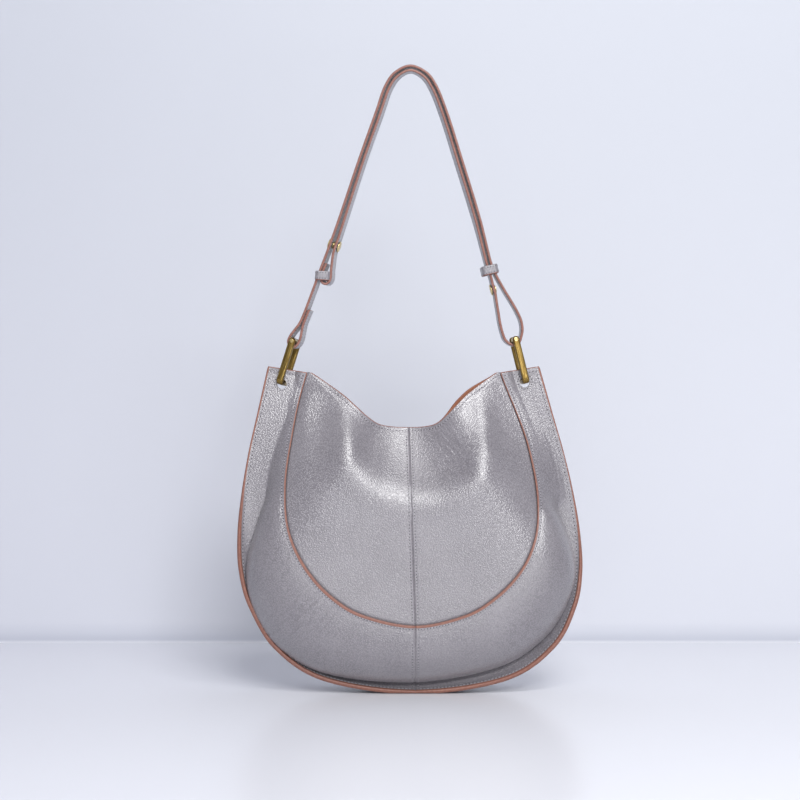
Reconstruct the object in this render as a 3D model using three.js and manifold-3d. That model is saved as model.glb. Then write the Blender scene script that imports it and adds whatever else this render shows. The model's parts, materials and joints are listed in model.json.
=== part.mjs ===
// A soft hobo shoulder bag in grained leather with painted edges.
// Millimetres, +Z up. The origin is on the floor under the middle of the bag; -Y is the front.
// Front and back are each a U-shaped bib under a crescent-shaped side panel, in left and right halves.
// The two crescents meet in a turned-out rim, which widens at the top corners into tabs.
// A long strap hangs from two oblong shackles, doubled back on itself and held by two keepers and snaps.
import * as THREE from "three";
import Module from "manifold-3d";
import { mergeVertices } from "three/addons/utils/BufferGeometryUtils.js";

// ---- Driving dimensions ----
const BAG_WIDTH = 326; // over the rims
const BAG_HEIGHT = 306.4; // floor to the tabs' corners
const BAG_DEPTH = 116; // over the bellies
const LEATHER = 1.9; // panel leather
const LINING = 0.8; // microsuede lining
const GAP = 0.3; // between pieces that lie on each other
const LINING_GAP = 0.5; // air between leather and lining
const LEAN = 8; // how far the top of the bag leans towards -X
const LEAN_FROM = 60; // height where it starts to lean
const SEAM_OFFSET = 3; // centre seam, right of the middle
const UNDERLAP = 5; // how far a bib runs on under the side panel
const TAB_CORE = 1.2; // stiffener between the two layers of a tab
const TAB_CORE_OUTLINE = [
  // share of the bag's half width, share of the way from seam to rim
  [0.995, 0.2],
  [0.995, 0.9],
  [0.97, 0.91],
  [0.91, 0.8],
  [0.93, 0.3],
];
const MAGNET_R = 9;
const MAGNET_THICK = 2.6;
const MAGNET_DROP = 14; // below the mouth's edge
const MOUTH_MIDDLE = GAP / 2 + MAGNET_THICK + GAP + LINING + LINING_GAP + LEATHER; // middle plane to bib face
const MOUTH_OPEN = 8; // further out than that, halfway to the corners
const BACK_LIFT = 4.5; // how much higher the back's mouth edge stands on the right
const SEAM_STEP = 2; // how much nearer the middle plane the bib's corner lies than the mouth's middle
const EYELET_R = 4.5;
const THROUGH = 60; // length of a cutter that passes through everything
const LINING_INSET = GAP + LEATHER + 1.2; // from a side panel's inner face to the lining
const LINING_SLACK = 5; // further than that, where it hangs free behind the bib
const LINING_WIDE = 0.87; // share of the bag's half width where it ends, short of the tabs
const LINING_DROP = 0.02; // how far it ends below the mouth's edge, as a share of the bib
const LINING_REACH = 4.3; // the point of the side panel's profile where it ends
const POCKET_AWAY = 3; // from the lining's outer face to the pocket
const POCKET_WIDTH = 0.42; // share of the bag's width
const POCKET_TOP = 0.3; // share of the way from mouth to seam
const POCKET_BOTTOM = 0.8;

const STRAP_WIDE = 15.5;
const STRAP_THICK = 2.4;
const RUN_GAP = 1.7; // between the strap's two runs
const STRAP_PITCH = STRAP_THICK + RUN_GAP;

const RING_BAR = 40.7; // shackle, from crossbar to the bar in the eyelet
const RING_SIDE_CLEARANCE = 1; // strap edge to shackle leg
const RING_INSIDE = STRAP_WIDE + 2 * RING_SIDE_CLEARANCE;
const RING_WIDE = 5.8; // leg section, across the bag
const RING_DEEP = 4.2; // leg section, front to back
const RING_CHAMFER = 1.2;
const BEND_R = 4;
const BAR_R = 2.3; // crossbar between the legs
const BAR_END_R = 1.5; // crossbar inside the leg
const RUNNING = 0.3; // clearance round a crossbar's end

const LEFT_KEEPER_INSIDE = 2 * STRAP_THICK + 4.4; // the strap's end stands a little off the run beside it
const RIGHT_KEEPER_INSIDE = 2 * STRAP_THICK + RUN_GAP + 5.8; // a loose fit, as it slides over both runs
const KEEPER_BAND = 1.7;
const KEEPER_TALL = 8.6;
const KEEPER_SIDE_CLEARANCE = 0.9;
const SNAP_R = 5.2;
const SNAP_CAP = 1.3;
const SNAP_NECK_R = 1.6;
const SNAP_STUD_R = 3.6;
const SNAP_STUD = 1.7; // how far a stud or socket stands up from the strap
const SNAP_APART = 3.65; // from the middle of the left snap to the middle of either run

// Facets: along half a panel, over a bib, over a side panel, along and over a lining,
// round a shackle's bend, and between two points of the strap.
const ACROSS_STEPS = 12;
const BIB_STEPS = 8;
const SIDE_STEPS = 11;
const LINING_ACROSS = 20;
const LINING_DOWN = 10;
const BEND_STEPS = 4;
const STRAP_STEPS = 2;

// The tables below hold for these sizes and stretch with the bag.
const TABLE_WIDTH = 326;
const TABLE_HEIGHT = 306.4;
const TABLE_DEPTH = 116;
// Stations round one half of the bag, from the top corner to the centre of the bottom:
// seam and rim are [x, z]; depth is how far the belly stands out, front and back;
// belly is its share of the panel's width, front and back; curl is how far the rim turns forward.
const STATIONS = [
  { seam: [92, 300.7], rim: [128, 306.4], depth: [0, 0], belly: [0.12, 0.12], curl: 0 },
  { seam: [103.5, 265], rim: [139, 262], depth: [10, 10], belly: [0.3, 0.3], curl: 0 },
  { seam: [112, 230.5], rim: [149, 224], depth: [20, 20], belly: [0.34, 0.36], curl: 1 },
  { seam: [117, 196.5], rim: [156.5, 187], depth: [31, 31], belly: [0.42, 0.5], curl: 3 },
  { seam: [117, 165], rim: [162.5, 150], depth: [40, 41], belly: [0.6, 0.74], curl: 7 },
  { seam: [110.5, 139], rim: [163, 115], depth: [46, 48], belly: [0.8, 0.95], curl: 10 },
  { seam: [96.5, 114], rim: [155, 81], depth: [50, 53], belly: [0.87, 1], curl: 12 },
  { seam: [75, 92], rim: [132, 42], depth: [53, 56], belly: [0.88, 1.03], curl: 13 },
  { seam: [47, 75.5], rim: [86, 12.5], depth: [54, 58], belly: [0.86, 1.13], curl: 13 },
  { seam: [0, 65.7], rim: [0, 0.9], depth: [55, 58], belly: [0.84, 1.17], curl: 13 },
];
// The mouth's edge from a top corner to the middle, [x, z].
const MOUTH = [
  [88.5, 301.2],
  [73.5, 291],
  [58.8, 280],
  [47, 269],
  [37, 259.5],
  [27, 252.3],
  [14, 249.6],
  [0, 249.2],
];
// How far a bib has come forward, from its mouth (0) to its seam (1), at even steps.
const BIB_RISE = [0, 0.05, 0.2, 0.5, 0.75, 0.88, 0.95, 0.99, 1];

// The strap's centreline, [x, z]: its outer run from the left crossbar over the shoulder to the right keeper.
const OUTER_RUN = [
  [-101.3, 355.8],
  [-92.7, 378.6],
  [-87.4, 393.4],
  [-72.8, 435.6],
  [-48.5, 504],
  [-32.6, 548.6],
  [-24.2, 572.4],
  [-15.7, 584.7],
  [-1.4, 591.5],
  [13.3, 584.7],
  [21.9, 572.4],
  [31.5, 548.6],
  [45.7, 504],
  [63.7, 445.1],
  [74.9, 402.8],
];
// The sewn loop round the left crossbar, from its folded end to the start of the outer run.
const LEFT_LOOP = [
  [-94.2, 363.2],
  [-98.4, 354.4],
  [-101.7, 346.4],
  [-103.1, 340],
  [-104.3, 333.8],
  [-106.6, 328.4],
  [-110.2, 325.3],
  [-114.1, 326.3],
  [-115.8, 330.4],
  [-114, 335.6],
  [-109.6, 341.6],
  [-105.3, 347.4],
];
// The open loop round the right crossbar, from the outer run to the inner run.
const RIGHT_LOOP = [
  [78.9, 393.7],
  [83.2, 385.6],
  [88.4, 376.7],
  [94, 367.6],
  [98.9, 359],
  [102.6, 350.6],
  [104, 342.2],
  [102.9, 335.4],
  [100.8, 329.8],
  [96.4, 327.4],
  [91.7, 328.7],
  [87.6, 332.5],
  [85.4, 338],
  [83, 347.1],
  [81.2, 358],
  [79.7, 367],
  [78.5, 375],
  [76.3, 383],
  [74.3, 391.3],
];
// The inner run's free end: down past the left keeper, round its wall and up through it.
const TAIL = [
  [-67.2, 429.5],
  [-69.8, 422],
  [-72.4, 414.5],
  [-74.6, 405],
  [-75.4, 398],
  [-75.8, 391],
  [-77.4, 385.6],
  [-80.6, 383.2],
  [-83.8, 384.6],
  [-84.8, 388.2],
  [-84.2, 392],
  [-82.9, 397.5],
  [-80, 404.5],
];
const LEFT_YAW = THREE.MathUtils.degToRad(12); // how far the left shackle and strap end turn about Z
const RIGHT_YAW = THREE.MathUtils.degToRad(-5);
const YAW_FROM = 450; // height where the strap's left side starts to turn
const YAW_OVER = 110;
const STRAP_BLEND = 100; // width of the crown over which the strap passes from one side to the other
const INNER_UNTIL = 4; // the outer run's point beside which the inner run starts to part from it

// Mechanism points, [x, z].
const LEFT_EYELET = [-123.3, 291.5];
const RIGHT_EYELET = [106.9, 292.8];
const LEFT_RING_LEAN = THREE.MathUtils.degToRad(17.45);
const RIGHT_RING_LEAN = THREE.MathUtils.degToRad(-13.93);
const LEFT_LOOP_MIDDLE = [-111.1, 330.3]; // where the strap's tables have its crossbars
const RIGHT_LOOP_MIDDLE = [97.1, 332.3];
const LEFT_KEEPER = [-85.9, 392.9];
const RIGHT_KEEPER = [73.4, 398.4];
const LEFT_TILT = THREE.MathUtils.degToRad(19.1); // how far the strap leans at its left keeper and snap
const RIGHT_TILT = THREE.MathUtils.degToRad(-15.4);
const LEFT_SNAP = [-73.6, 422]; // halfway between the two runs
const RIGHT_SNAP = [77.1, 380.2];

const FRONT = 0;
const BACK = 1;

const wasm = await Module();
wasm.setup();

// ---- Helpers ----
const clamp = THREE.MathUtils.clamp;
const mix = THREE.MathUtils.lerp;
const smooth = (x, from, to) => THREE.MathUtils.smoothstep(x, from, to);

/** A uniform Catmull-Rom spline through the numbers in list, at position t from 0 to list.length - 1. */
function spline(list, t) {
  const i = clamp(Math.floor(t), 0, list.length - 2);
  const f = t - i;
  const p1 = list[i];
  const p2 = list[i + 1];
  const p0 = i > 0 ? list[i - 1] : 2 * p1 - p2;
  const p3 = i + 2 < list.length ? list[i + 2] : 2 * p2 - p1;
  const slope1 = (p2 - p0) / 2;
  const slope2 = (p3 - p1) / 2;
  const f2 = f * f;
  const f3 = f2 * f;
  return (
    p1 * (2 * f3 - 3 * f2 + 1) +
    slope1 * (f3 - 2 * f2 + f) +
    p2 * (3 * f2 - 2 * f3) +
    slope2 * (f3 - f2)
  );
}

/** One half's list made into the whole width's, left corner to right corner; sign -1 mirrors an x. */
function bothHalves(half, sign) {
  const left = half.map((v) => v * sign);
  return [...left, ...half.slice(0, -1).reverse()];
}

/** A value of both halves at a, which runs from -1 at the left corner to 1 at the right. */
const along = (list, a) => spline(list, ((a + 1) / 2) * (list.length - 1));

const wider = BAG_WIDTH / TABLE_WIDTH;
const taller = BAG_HEIGHT / TABLE_HEIGHT;
const deeper = BAG_DEPTH / TABLE_DEPTH;
const onBag = ([x, z]) => [x * wider, z * taller];

/** Where a shackle's crossbar is, from its foot in the eyelet and its lean. */
const crossbarAt = ([x, z], lean) => [x + RING_BAR * Math.sin(lean), z + RING_BAR * Math.cos(lean)];
const LEFT_FOOT = onBag(LEFT_EYELET);
const RIGHT_FOOT = onBag(RIGHT_EYELET);
const LEFT_CROSSBAR = crossbarAt(LEFT_FOOT, LEFT_RING_LEAN);
const RIGHT_CROSSBAR = crossbarAt(RIGHT_FOOT, RIGHT_RING_LEAN);

/** A point of the strap's tables, moved along with its side's crossbar; the crown lies between the two. */
function onRun([x, z]) {
  const share = clamp(x / STRAP_BLEND + 0.5, 0, 1);
  const shift = (i) =>
    mix(LEFT_CROSSBAR[i] - LEFT_LOOP_MIDDLE[i], RIGHT_CROSSBAR[i] - RIGHT_LOOP_MIDDLE[i], share);
  return [x + shift(0), z + shift(1)];
}

/** A closed geometry from vertices and triangles. */
function geometryOf(vertices, triangles) {
  return new THREE.BufferGeometry()
    .setAttribute("position", new THREE.Float32BufferAttribute(vertices, 3))
    .setIndex(triangles);
}

/** A sheet of thickness `thick`, laid on face(a, b) and offset along its normal times `side`. */
function shell(face, aCount, bCount, [a0, a1], [b0, b1], thick, side) {
  const vertices = [];
  const step = 1e-3;
  const normal = (a, b) => {
    const da = face(a + step, b).sub(face(a - step, b));
    const db = face(a, b + step).sub(face(a, b - step));
    return da.cross(db).normalize().multiplyScalar(side * thick);
  };
  for (const lift of [0, 1]) {
    for (let i = 0; i <= aCount; i++) {
      for (let j = 0; j <= bCount; j++) {
        const a = mix(a0, a1, i / aCount);
        const b = mix(b0, b1, j / bCount);
        const point = face(a, b);
        if (lift) point.add(normal(a, b));
        point.z = Math.max(point.z, 0); // the floor presses it flat
        vertices.push(...point);
      }
    }
  }
  const row = bCount + 1;
  const layer = (aCount + 1) * row;
  const triangles = [];
  const quad = (p, q, r, s) => {
    if (side > 0) triangles.push(p, q, r, p, r, s);
    else triangles.push(p, r, q, p, s, r);
  };
  for (let i = 0; i < aCount; i++) {
    for (let j = 0; j < bCount; j++) {
      const p = i * row + j;
      quad(p, p + 1, p + row + 1, p + row);
      quad(layer + p, layer + p + row, layer + p + row + 1, layer + p + 1);
    }
  }
  for (let i = 0; i < aCount; i++) {
    const p = i * row;
    const q = p + bCount;
    quad(p, p + row, layer + p + row, layer + p);
    quad(q, layer + q, layer + q + row, q + row);
  }
  for (let j = 0; j < bCount; j++) {
    const q = aCount * row + j;
    quad(j, layer + j, layer + j + 1, j + 1);
    quad(q, q + 1, layer + q + 1, layer + q);
  }
  return geometryOf(vertices, triangles);
}

/** A section of [across, wide] points swept along frames of { at, across, wide }. */
function sweep(section, frames) {
  const vertices = [];
  for (const { at, across, wide } of frames) {
    for (const [u, v] of section) {
      const p = at.clone().addScaledVector(across, u).addScaledVector(wide, v);
      vertices.push(...p);
    }
  }
  const n = section.length;
  const triangles = [];
  for (let i = 0; i + 1 < frames.length; i++) {
    for (let k = 0; k < n; k++) {
      const p = i * n + k;
      const q = i * n + ((k + 1) % n);
      triangles.push(p, q, q + n, p, q + n, p + n);
    }
  }
  const end = (frames.length - 1) * n;
  for (let k = 1; k + 1 < n; k++) {
    triangles.push(0, k + 1, k, end, end + k, end + k + 1);
  }
  return geometryOf(vertices, triangles);
}

/** A geometry as a manifold-3d solid, with its faces turned to point outwards. */
function solidOf(geometry) {
  const plain = geometry.clone();
  plain.deleteAttribute("normal");
  plain.deleteAttribute("uv");
  const merged = mergeVertices(plain, 1e-4);
  const triVerts = new Uint32Array(merged.index.array);
  const vertProperties = merged.attributes.position.array;
  const solid = new wasm.Manifold(new wasm.Mesh({ numProp: 3, vertProperties, triVerts }));
  if (solid.volume() > 0) return solid;
  for (let i = 0; i < triVerts.length; i += 3) triVerts.subarray(i, i + 2).reverse();
  return new wasm.Manifold(new wasm.Mesh({ numProp: 3, vertProperties, triVerts }));
}

function geometryFrom(solid) {
  const mesh = solid.getMesh();
  return geometryOf(mesh.vertProperties, Array.from(mesh.triVerts));
}

/** A cylinder along Y, moved to [x, z] and y. */
function crossCylinder(radius, length, [x, z], y = 0, sides = 16) {
  return new THREE.CylinderGeometry(radius, radius, length, sides).translate(x, y, z);
}

// ---- Materials ----
const leather = (color, roughness) => new THREE.MeshStandardMaterial({ color, roughness, metalness: 0 });
const GREY_LEATHER = leather("#a9a6ad", 0.55);
const STRAP_LEATHER = leather("#a5a2a8", 0.5);
const TAN_LINING = leather("#b07a5e", 0.9);
const SALPA = leather("#8f7358", 0.9);
const GOLD = new THREE.MeshStandardMaterial({ color: "#c9a044", roughness: 0.3, metalness: 1 });

const bag = new THREE.Group();

function add(name, geometry, material) {
  const mesh = new THREE.Mesh(geometry, material);
  mesh.name = name;
  bag.add(mesh);
}

// ---- Outlines ----
const stationList = (pick, sign = 1) => bothHalves(STATIONS.map(pick), sign);
const SEAM_X = stationList((s) => onBag(s.seam)[0], -1);
const SEAM_Z = stationList((s) => onBag(s.seam)[1]);
const RIM_X = stationList((s) => onBag(s.rim)[0], -1);
const RIM_Z = stationList((s) => onBag(s.rim)[1]);
const CURL = stationList((s) => s.curl);
const DEPTH = [FRONT, BACK].map((f) => stationList((s) => s.depth[f] * deeper));
const BELLY = [FRONT, BACK].map((f) => stationList((s) => s.belly[f]));
const MOUTH_X = bothHalves(MOUTH.map((p) => onBag(p)[0]), -1);
const MOUTH_Z = bothHalves(MOUTH.map((p) => onBag(p)[1]), 1);

/** Moves an outline point by the bag's lean and the centre seam's offset. */
function settle(x, z, a) {
  const lean = LEAN * clamp((z - LEAN_FROM) / (BAG_HEIGHT - LEAN_FROM), 0, 1);
  return new THREE.Vector2(x - lean + SEAM_OFFSET * (1 - Math.abs(a)) ** 2, z);
}

const seamAt = (a) => settle(along(SEAM_X, a), along(SEAM_Z, a), a);
const rimAt = (a) => settle(along(RIM_X, a), along(RIM_Z, a), a);
const mouthAt = (a) => settle(along(MOUTH_X, a), along(MOUTH_Z, a), a);

// ---- Side panels ----
const TAB_LEAST = TAB_CORE / 2 + GAP;
const SEAM_LEAST = MOUTH_MIDDLE - SEAM_STEP;
const CORE_HALF = GAP / 2;
const PROFILE_STEPS = 11;
const JOINT_AT = 0.9; // where the front and back leathers meet, as a share of the front belly's reach
const PUFFED_FROM = 12; // belly depth at which the panel has its full section

/** A side panel's inner face across its width at a, as [outward, forward] pairs from its seam to its rim. */
function sideProfile(a, face) {
  const width = seamAt(a).distanceTo(rimAt(a));
  const depth = along(DEPTH[face], a);
  const belly = along(BELLY[face], a) * width;
  const joint = along(BELLY[FRONT], a) * width * JOINT_AT;
  const tab = 1 - smooth(1 - Math.abs(a), 0.05, 0.2);
  const half = mix(CORE_HALF, TAB_LEAST, tab);
  const puffed = [
    [0, 0.96 * depth],
    [0.3 * belly, depth],
    [0.62 * belly, 0.96 * depth],
    [0.86 * belly, 0.8 * depth],
    [belly, 0.5 * depth],
    [mix(joint, belly, 0.85), 0.24 * depth],
    [mix(joint, belly, 0.45), 0.08 * depth],
    [mix(joint, width, 0.08), half + 0.2],
    [mix(joint, width, 0.35), half],
    [mix(joint, width, 0.62), half],
    [mix(joint, width, 0.86), half],
    [width, half],
  ];
  const rise = smooth(depth, 0, PUFFED_FROM);
  return puffed.map(([outward, forward], k) => {
    const share = k / PROFILE_STEPS;
    const flat = mix(SEAM_LEAST, TAB_LEAST, smooth(share, 0.16, 0.5));
    return [mix(width * share, outward, rise), Math.max(half, mix(flat, forward, rise))];
  });
}

const CURL_FROM = 7; // the first profile point that turns forward with the rim
const CURL_SHARES = [0, 0.05, 0.2, 0.5, 1];

const UNDERLAP_AT = 1 / SIDE_STEPS; // where the bib ends under it
const FLANGE_AT = 1 - (PROFILE_STEPS - CURL_FROM) / SIDE_STEPS; // where the two leathers come together

/** Where b, from 0 at the seam to 1 at the rim, falls in the profile's points. */
function profileAt(b, near) {
  if (b < UNDERLAP_AT) return (near * b) / UNDERLAP_AT;
  if (b < FLANGE_AT) return mix(near, CURL_FROM, (b - UNDERLAP_AT) / (FLANGE_AT - UNDERLAP_AT));
  return mix(CURL_FROM, PROFILE_STEPS, (b - FLANGE_AT) / (1 - FLANGE_AT));
}

/** A point on a side panel's inner face; b runs from 0 at the seam to 1 at the rim. */
function sideFace(a, b, face) {
  const profile = sideProfile(a, face);
  const t = profileAt(b, UNDERLAP / profile[1][0]);
  const straight = Math.floor(clamp(t, CURL_FROM, PROFILE_STEPS - 1));
  const outward = t < CURL_FROM
    ? spline(profile.map((p) => p[0]), t)
    : mix(profile[straight][0], profile[straight + 1][0], t - straight);
  const forward = t < CURL_FROM ? spline(profile.map((p) => p[1]), t) : profile[PROFILE_STEPS][1];
  const curl = along(CURL, a) * spline([...Array(CURL_FROM).fill(0), ...CURL_SHARES], t);
  const seam = seamAt(a);
  const direction = rimAt(a).sub(seam).normalize();
  const x = seam.x + direction.x * outward;
  const z = seam.y + direction.y * outward;
  const y = (face === FRONT ? -forward : forward) - curl;
  const rest = face === BACK && t < CURL_FROM ? LEATHER : 0;
  return new THREE.Vector3(x, y, Math.max(z, rest));
}

const HALVES = [
  { name: "left", from: -1, to: 0, shift: -GAP / 2 },
  { name: "right", from: 0, to: 1, shift: GAP / 2 },
];
const FACES = [
  { name: "front", face: FRONT, out: -1 },
  { name: "back", face: BACK, out: 1 },
];

const eyelet = (at) => solidOf(crossCylinder(EYELET_R, THROUGH, at));
const EYELETS = { left: eyelet(LEFT_FOOT), right: eyelet(RIGHT_FOOT) };

for (const { name: side, face, out } of FACES) {
  for (const half of HALVES) {
    const surface = (a, b) => sideFace(a, b, face);
    const panel = shell(surface, ACROSS_STEPS, SIDE_STEPS, [half.from, half.to], [0, 1], LEATHER, out);
    const holed = solidOf(panel.translate(half.shift, 0, 0)).subtract(EYELETS[half.name]);
    add(`${side}_side_panel_${half.name}`, geometryFrom(holed), GREY_LEATHER);
  }
}

// ---- Bibs ----
/** How far a bib's outer face stands from the middle plane along the mouth. */
const mouthDepth = (a) => {
  const open = Math.sin(Math.PI * Math.abs(a)) ** 2;
  const corner = smooth(Math.abs(a), 0.6, 1);
  return mix(MOUTH_MIDDLE, SEAM_LEAST - GAP, corner) + MOUTH_OPEN * open;
};

/** A point just inside a side panel, between its seam (0) and the bib's hidden edge (1). */
function underSide(a, share, face) {
  const step = 2e-3;
  const b = share * UNDERLAP_AT;
  const at = sideFace(a, b, face);
  const da = sideFace(a + step, b, face).sub(sideFace(a - step, b, face));
  const db = sideFace(a, b + step, face).sub(at);
  return at.addScaledVector(da.cross(db).normalize(), face === FRONT ? GAP : -GAP);
}

/** A point on a bib's outer face; b is 0 at the mouth and 1 at the seam, then runs under the side panel. */
function bibFace(a, b, face) {
  if (b > 1) return underSide(a, (b - 1) / (BIB_END - 1), face);
  const seam = underSide(a, 0, face);
  const mouth = mouthAt(a);
  const rise = spline(BIB_RISE, b * (BIB_RISE.length - 1));
  const depth = mix(mouthDepth(a), Math.abs(seam.y), rise);
  const lift = face === BACK ? BACK_LIFT * smooth(a, 0.2, 0.55) * (1 - smooth(a, 0.7, 0.98)) : 0;
  const x = mix(mouth.x, seam.x, b);
  const z = mix(mouth.y + lift, seam.z, b);
  return new THREE.Vector3(x, face === FRONT ? -depth : depth, z);
}

const BIB_END = (BIB_STEPS + 1) / BIB_STEPS;

for (const { name: side, face, out } of FACES) {
  for (const half of HALVES) {
    const surface = (a, b) => bibFace(a, b, face);
    const range = [half.from, half.to];
    const bib = shell(surface, ACROSS_STEPS, BIB_STEPS + 1, range, [0, BIB_END], LEATHER, -out);
    add(`${side}_bib_${half.name}`, bib.translate(half.shift, 0, 0), GREY_LEATHER);
  }
}

// ---- Tab stiffeners ----
/** A thin stiffener between the two layers of a tab, inside its stitching, with the eyelet hole. */
function tabCore(sign) {
  const inTab = (a, share) => seamAt(a).lerp(rimAt(a), share);
  const outline = new THREE.Shape(TAB_CORE_OUTLINE.map(([a, share]) => inTab(sign * a, share)));
  const sheet = new THREE.ExtrudeGeometry(outline, { depth: TAB_CORE, bevelEnabled: false });
  return sheet.rotateX(Math.PI / 2).translate(0, TAB_CORE / 2, 0);
}

for (const [name, sign] of [["left", -1], ["right", 1]]) {
  const core = solidOf(tabCore(sign)).subtract(EYELETS[name]);
  add(`tab_stiffener_${name}`, geometryFrom(core), SALPA);
}

// ---- Lining ----
/** A point on a lining's outer face, from the mouth (0) to the seam (1) and round the belly (2). */
function liningFace(a, b, face) {
  const sign = face === FRONT ? -1 : 1;
  if (b <= 1) {
    const at = bibFace(a, mix(LINING_DROP, 1, b), face);
    at.y -= sign * (mix(LEATHER + LINING_GAP, LINING_INSET, b) + LINING_SLACK * Math.sin(Math.PI * b));
    return at;
  }
  const profile = sideProfile(a, face);
  const width = seamAt(a).distanceTo(rimAt(a));
  const belly = along(BELLY[face], a) * width;
  const shrink = 1 - LINING_INSET / Math.min(belly, profile[CURL_FROM][0]);
  const t = (b - 1) * LINING_REACH;
  const outward = spline(profile.map((p) => p[0]), t) * shrink;
  const forward = spline(profile.map((p) => p[1]), t) - LINING_INSET;
  const seam = seamAt(a);
  const direction = rimAt(a).sub(seam).normalize();
  const x = seam.x + direction.x * outward;
  const z = seam.y + direction.y * outward;
  const y = sign * Math.max(forward, CORE_HALF + LINING);
  return new THREE.Vector3(x, y, Math.max(z, LEATHER + LINING_INSET));
}

for (const { name: side, face, out } of FACES) {
  const surface = (a, b) => liningFace(a, b, face);
  const range = [-LINING_WIDE, LINING_WIDE];
  const cloth = shell(surface, LINING_ACROSS, LINING_DOWN, range, [0, 2], LINING, -out);
  add(`lining_${side}`, cloth, TAN_LINING);
}

// ---- Magnetic snap at the mouth ----
for (const { name: side, face } of FACES) {
  const [x, z] = mouthAt(0);
  const sign = face === FRONT ? -1 : 1;
  const y = sign * (CORE_HALF + MAGNET_THICK / 2);
  const disc = crossCylinder(MAGNET_R, MAGNET_THICK, [x, z - MAGNET_DROP], y);
  add(`mouth_magnet_${side}`, disc, GOLD);
}

// ---- Inside pocket ----
/** A point on the slip pocket's face towards the back lining. */
function pocketFace(u, v) {
  const a = u * POCKET_WIDTH;
  const at = liningFace(a, mix(POCKET_TOP, POCKET_BOTTOM, v), BACK);
  at.y -= POCKET_AWAY;
  return at;
}
add("inside_pocket", shell(pocketFace, 8, 6, [-1, 1], [0, 1], LINING, -1), TAN_LINING);

// ---- Shackles ----
const X_AXIS = new THREE.Vector3(1, 0, 0);

/** A shackle standing on its eyelet bar: two legs, and the bar between them, in one bent piece. */
function shackleBody() {
  const half = (RING_INSIDE + RING_DEEP) / 2;
  const w = RING_WIDE / 2;
  const d = RING_DEEP / 2;
  const section = [
    [w, -d + RING_CHAMFER],
    [w, d - RING_CHAMFER],
    [w - RING_CHAMFER, d],
    [-w + RING_CHAMFER, d],
    [-w, d - RING_CHAMFER],
    [-w, -d + RING_CHAMFER],
    [-w + RING_CHAMFER, -d],
    [w - RING_CHAMFER, -d],
  ];
  const frames = [];
  const frame = (y, z, turn) => {
    const wide = new THREE.Vector3(0, Math.cos(turn), Math.sin(turn));
    frames.push({ at: new THREE.Vector3(0, y, z), across: X_AXIS, wide });
  };
  frame(-half, RING_BAR, 0);
  for (let k = 0; k <= BEND_STEPS; k++) {
    const turn = (k / BEND_STEPS) * (Math.PI / 2);
    frame(-half + BEND_R * (1 - Math.cos(turn)), BEND_R * (1 - Math.sin(turn)), turn);
  }
  for (let k = BEND_STEPS; k >= 0; k--) {
    const turn = (k / BEND_STEPS) * (Math.PI / 2);
    frame(half - BEND_R * (1 - Math.cos(turn)), BEND_R * (1 - Math.sin(turn)), Math.PI - turn);
  }
  frame(half, RING_BAR, Math.PI);
  let body = solidOf(sweep(section, frames));
  for (const sign of [-1, 1]) {
    body = body.add(solidOf(crossCylinder(w, RING_DEEP, [0, RING_BAR], sign * half)));
  }
  return body.subtract(solidOf(crossCylinder(BAR_END_R + RUNNING, THROUGH, [0, RING_BAR])));
}

/** The screwed crossbar at a shackle's open end. */
function shackleBar() {
  const shoulder = RING_INSIDE / 2 - GAP;
  const end = RING_INSIDE / 2 + RING_DEEP;
  const profile = [
    [0, -end],
    [BAR_END_R, -end],
    [BAR_END_R, -shoulder],
    [BAR_R, -shoulder],
    [BAR_R, shoulder],
    [BAR_END_R, shoulder],
    [BAR_END_R, end],
    [0, end],
  ].map(([r, y]) => new THREE.Vector2(r, y));
  return new THREE.LatheGeometry(profile, 12).translate(0, 0, RING_BAR);
}

const SHACKLES = [
  { name: "left", foot: LEFT_FOOT, lean: LEFT_RING_LEAN, yaw: LEFT_YAW },
  { name: "right", foot: RIGHT_FOOT, lean: RIGHT_RING_LEAN, yaw: RIGHT_YAW },
];
for (const { name, foot, lean, yaw } of SHACKLES) {
  const place = (geometry) => geometry.rotateZ(-yaw).rotateY(lean).translate(foot[0], 0, foot[1]);
  add(`${name}_shackle`, place(geometryFrom(shackleBody())), GOLD);
  add(`${name}_crossbar`, place(shackleBar()), GOLD);
}

// ---- Strap ----
/** How far the strap is turned about Z at a point of its run. */
function strapYaw([x, z]) {
  const turned = smooth((YAW_FROM - z) / YAW_OVER, 0, 1);
  return (x < 0 ? LEFT_YAW : RIGHT_YAW) * turned;
}

/** The direction of the strap's width at a point of its run. */
const widthAt = (point) => new THREE.Vector3(Math.sin(strapYaw(point)), Math.cos(strapYaw(point)), 0);

/** The inner run's points, from the right keeper back over the shoulder. */
function innerRun() {
  const points = [];
  for (let i = OUTER_RUN.length - 1; i >= INNER_UNTIL; i--) {
    const [x0, z0] = OUTER_RUN[i - 1];
    const [x1, z1] = OUTER_RUN[Math.min(i + 1, OUTER_RUN.length - 1)];
    const long = Math.hypot(x1 - x0, z1 - z0);
    const [x, z] = OUTER_RUN[i];
    points.push([x + ((z1 - z0) / long) * STRAP_PITCH, z - ((x1 - x0) / long) * STRAP_PITCH]);
  }
  return points;
}

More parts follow.
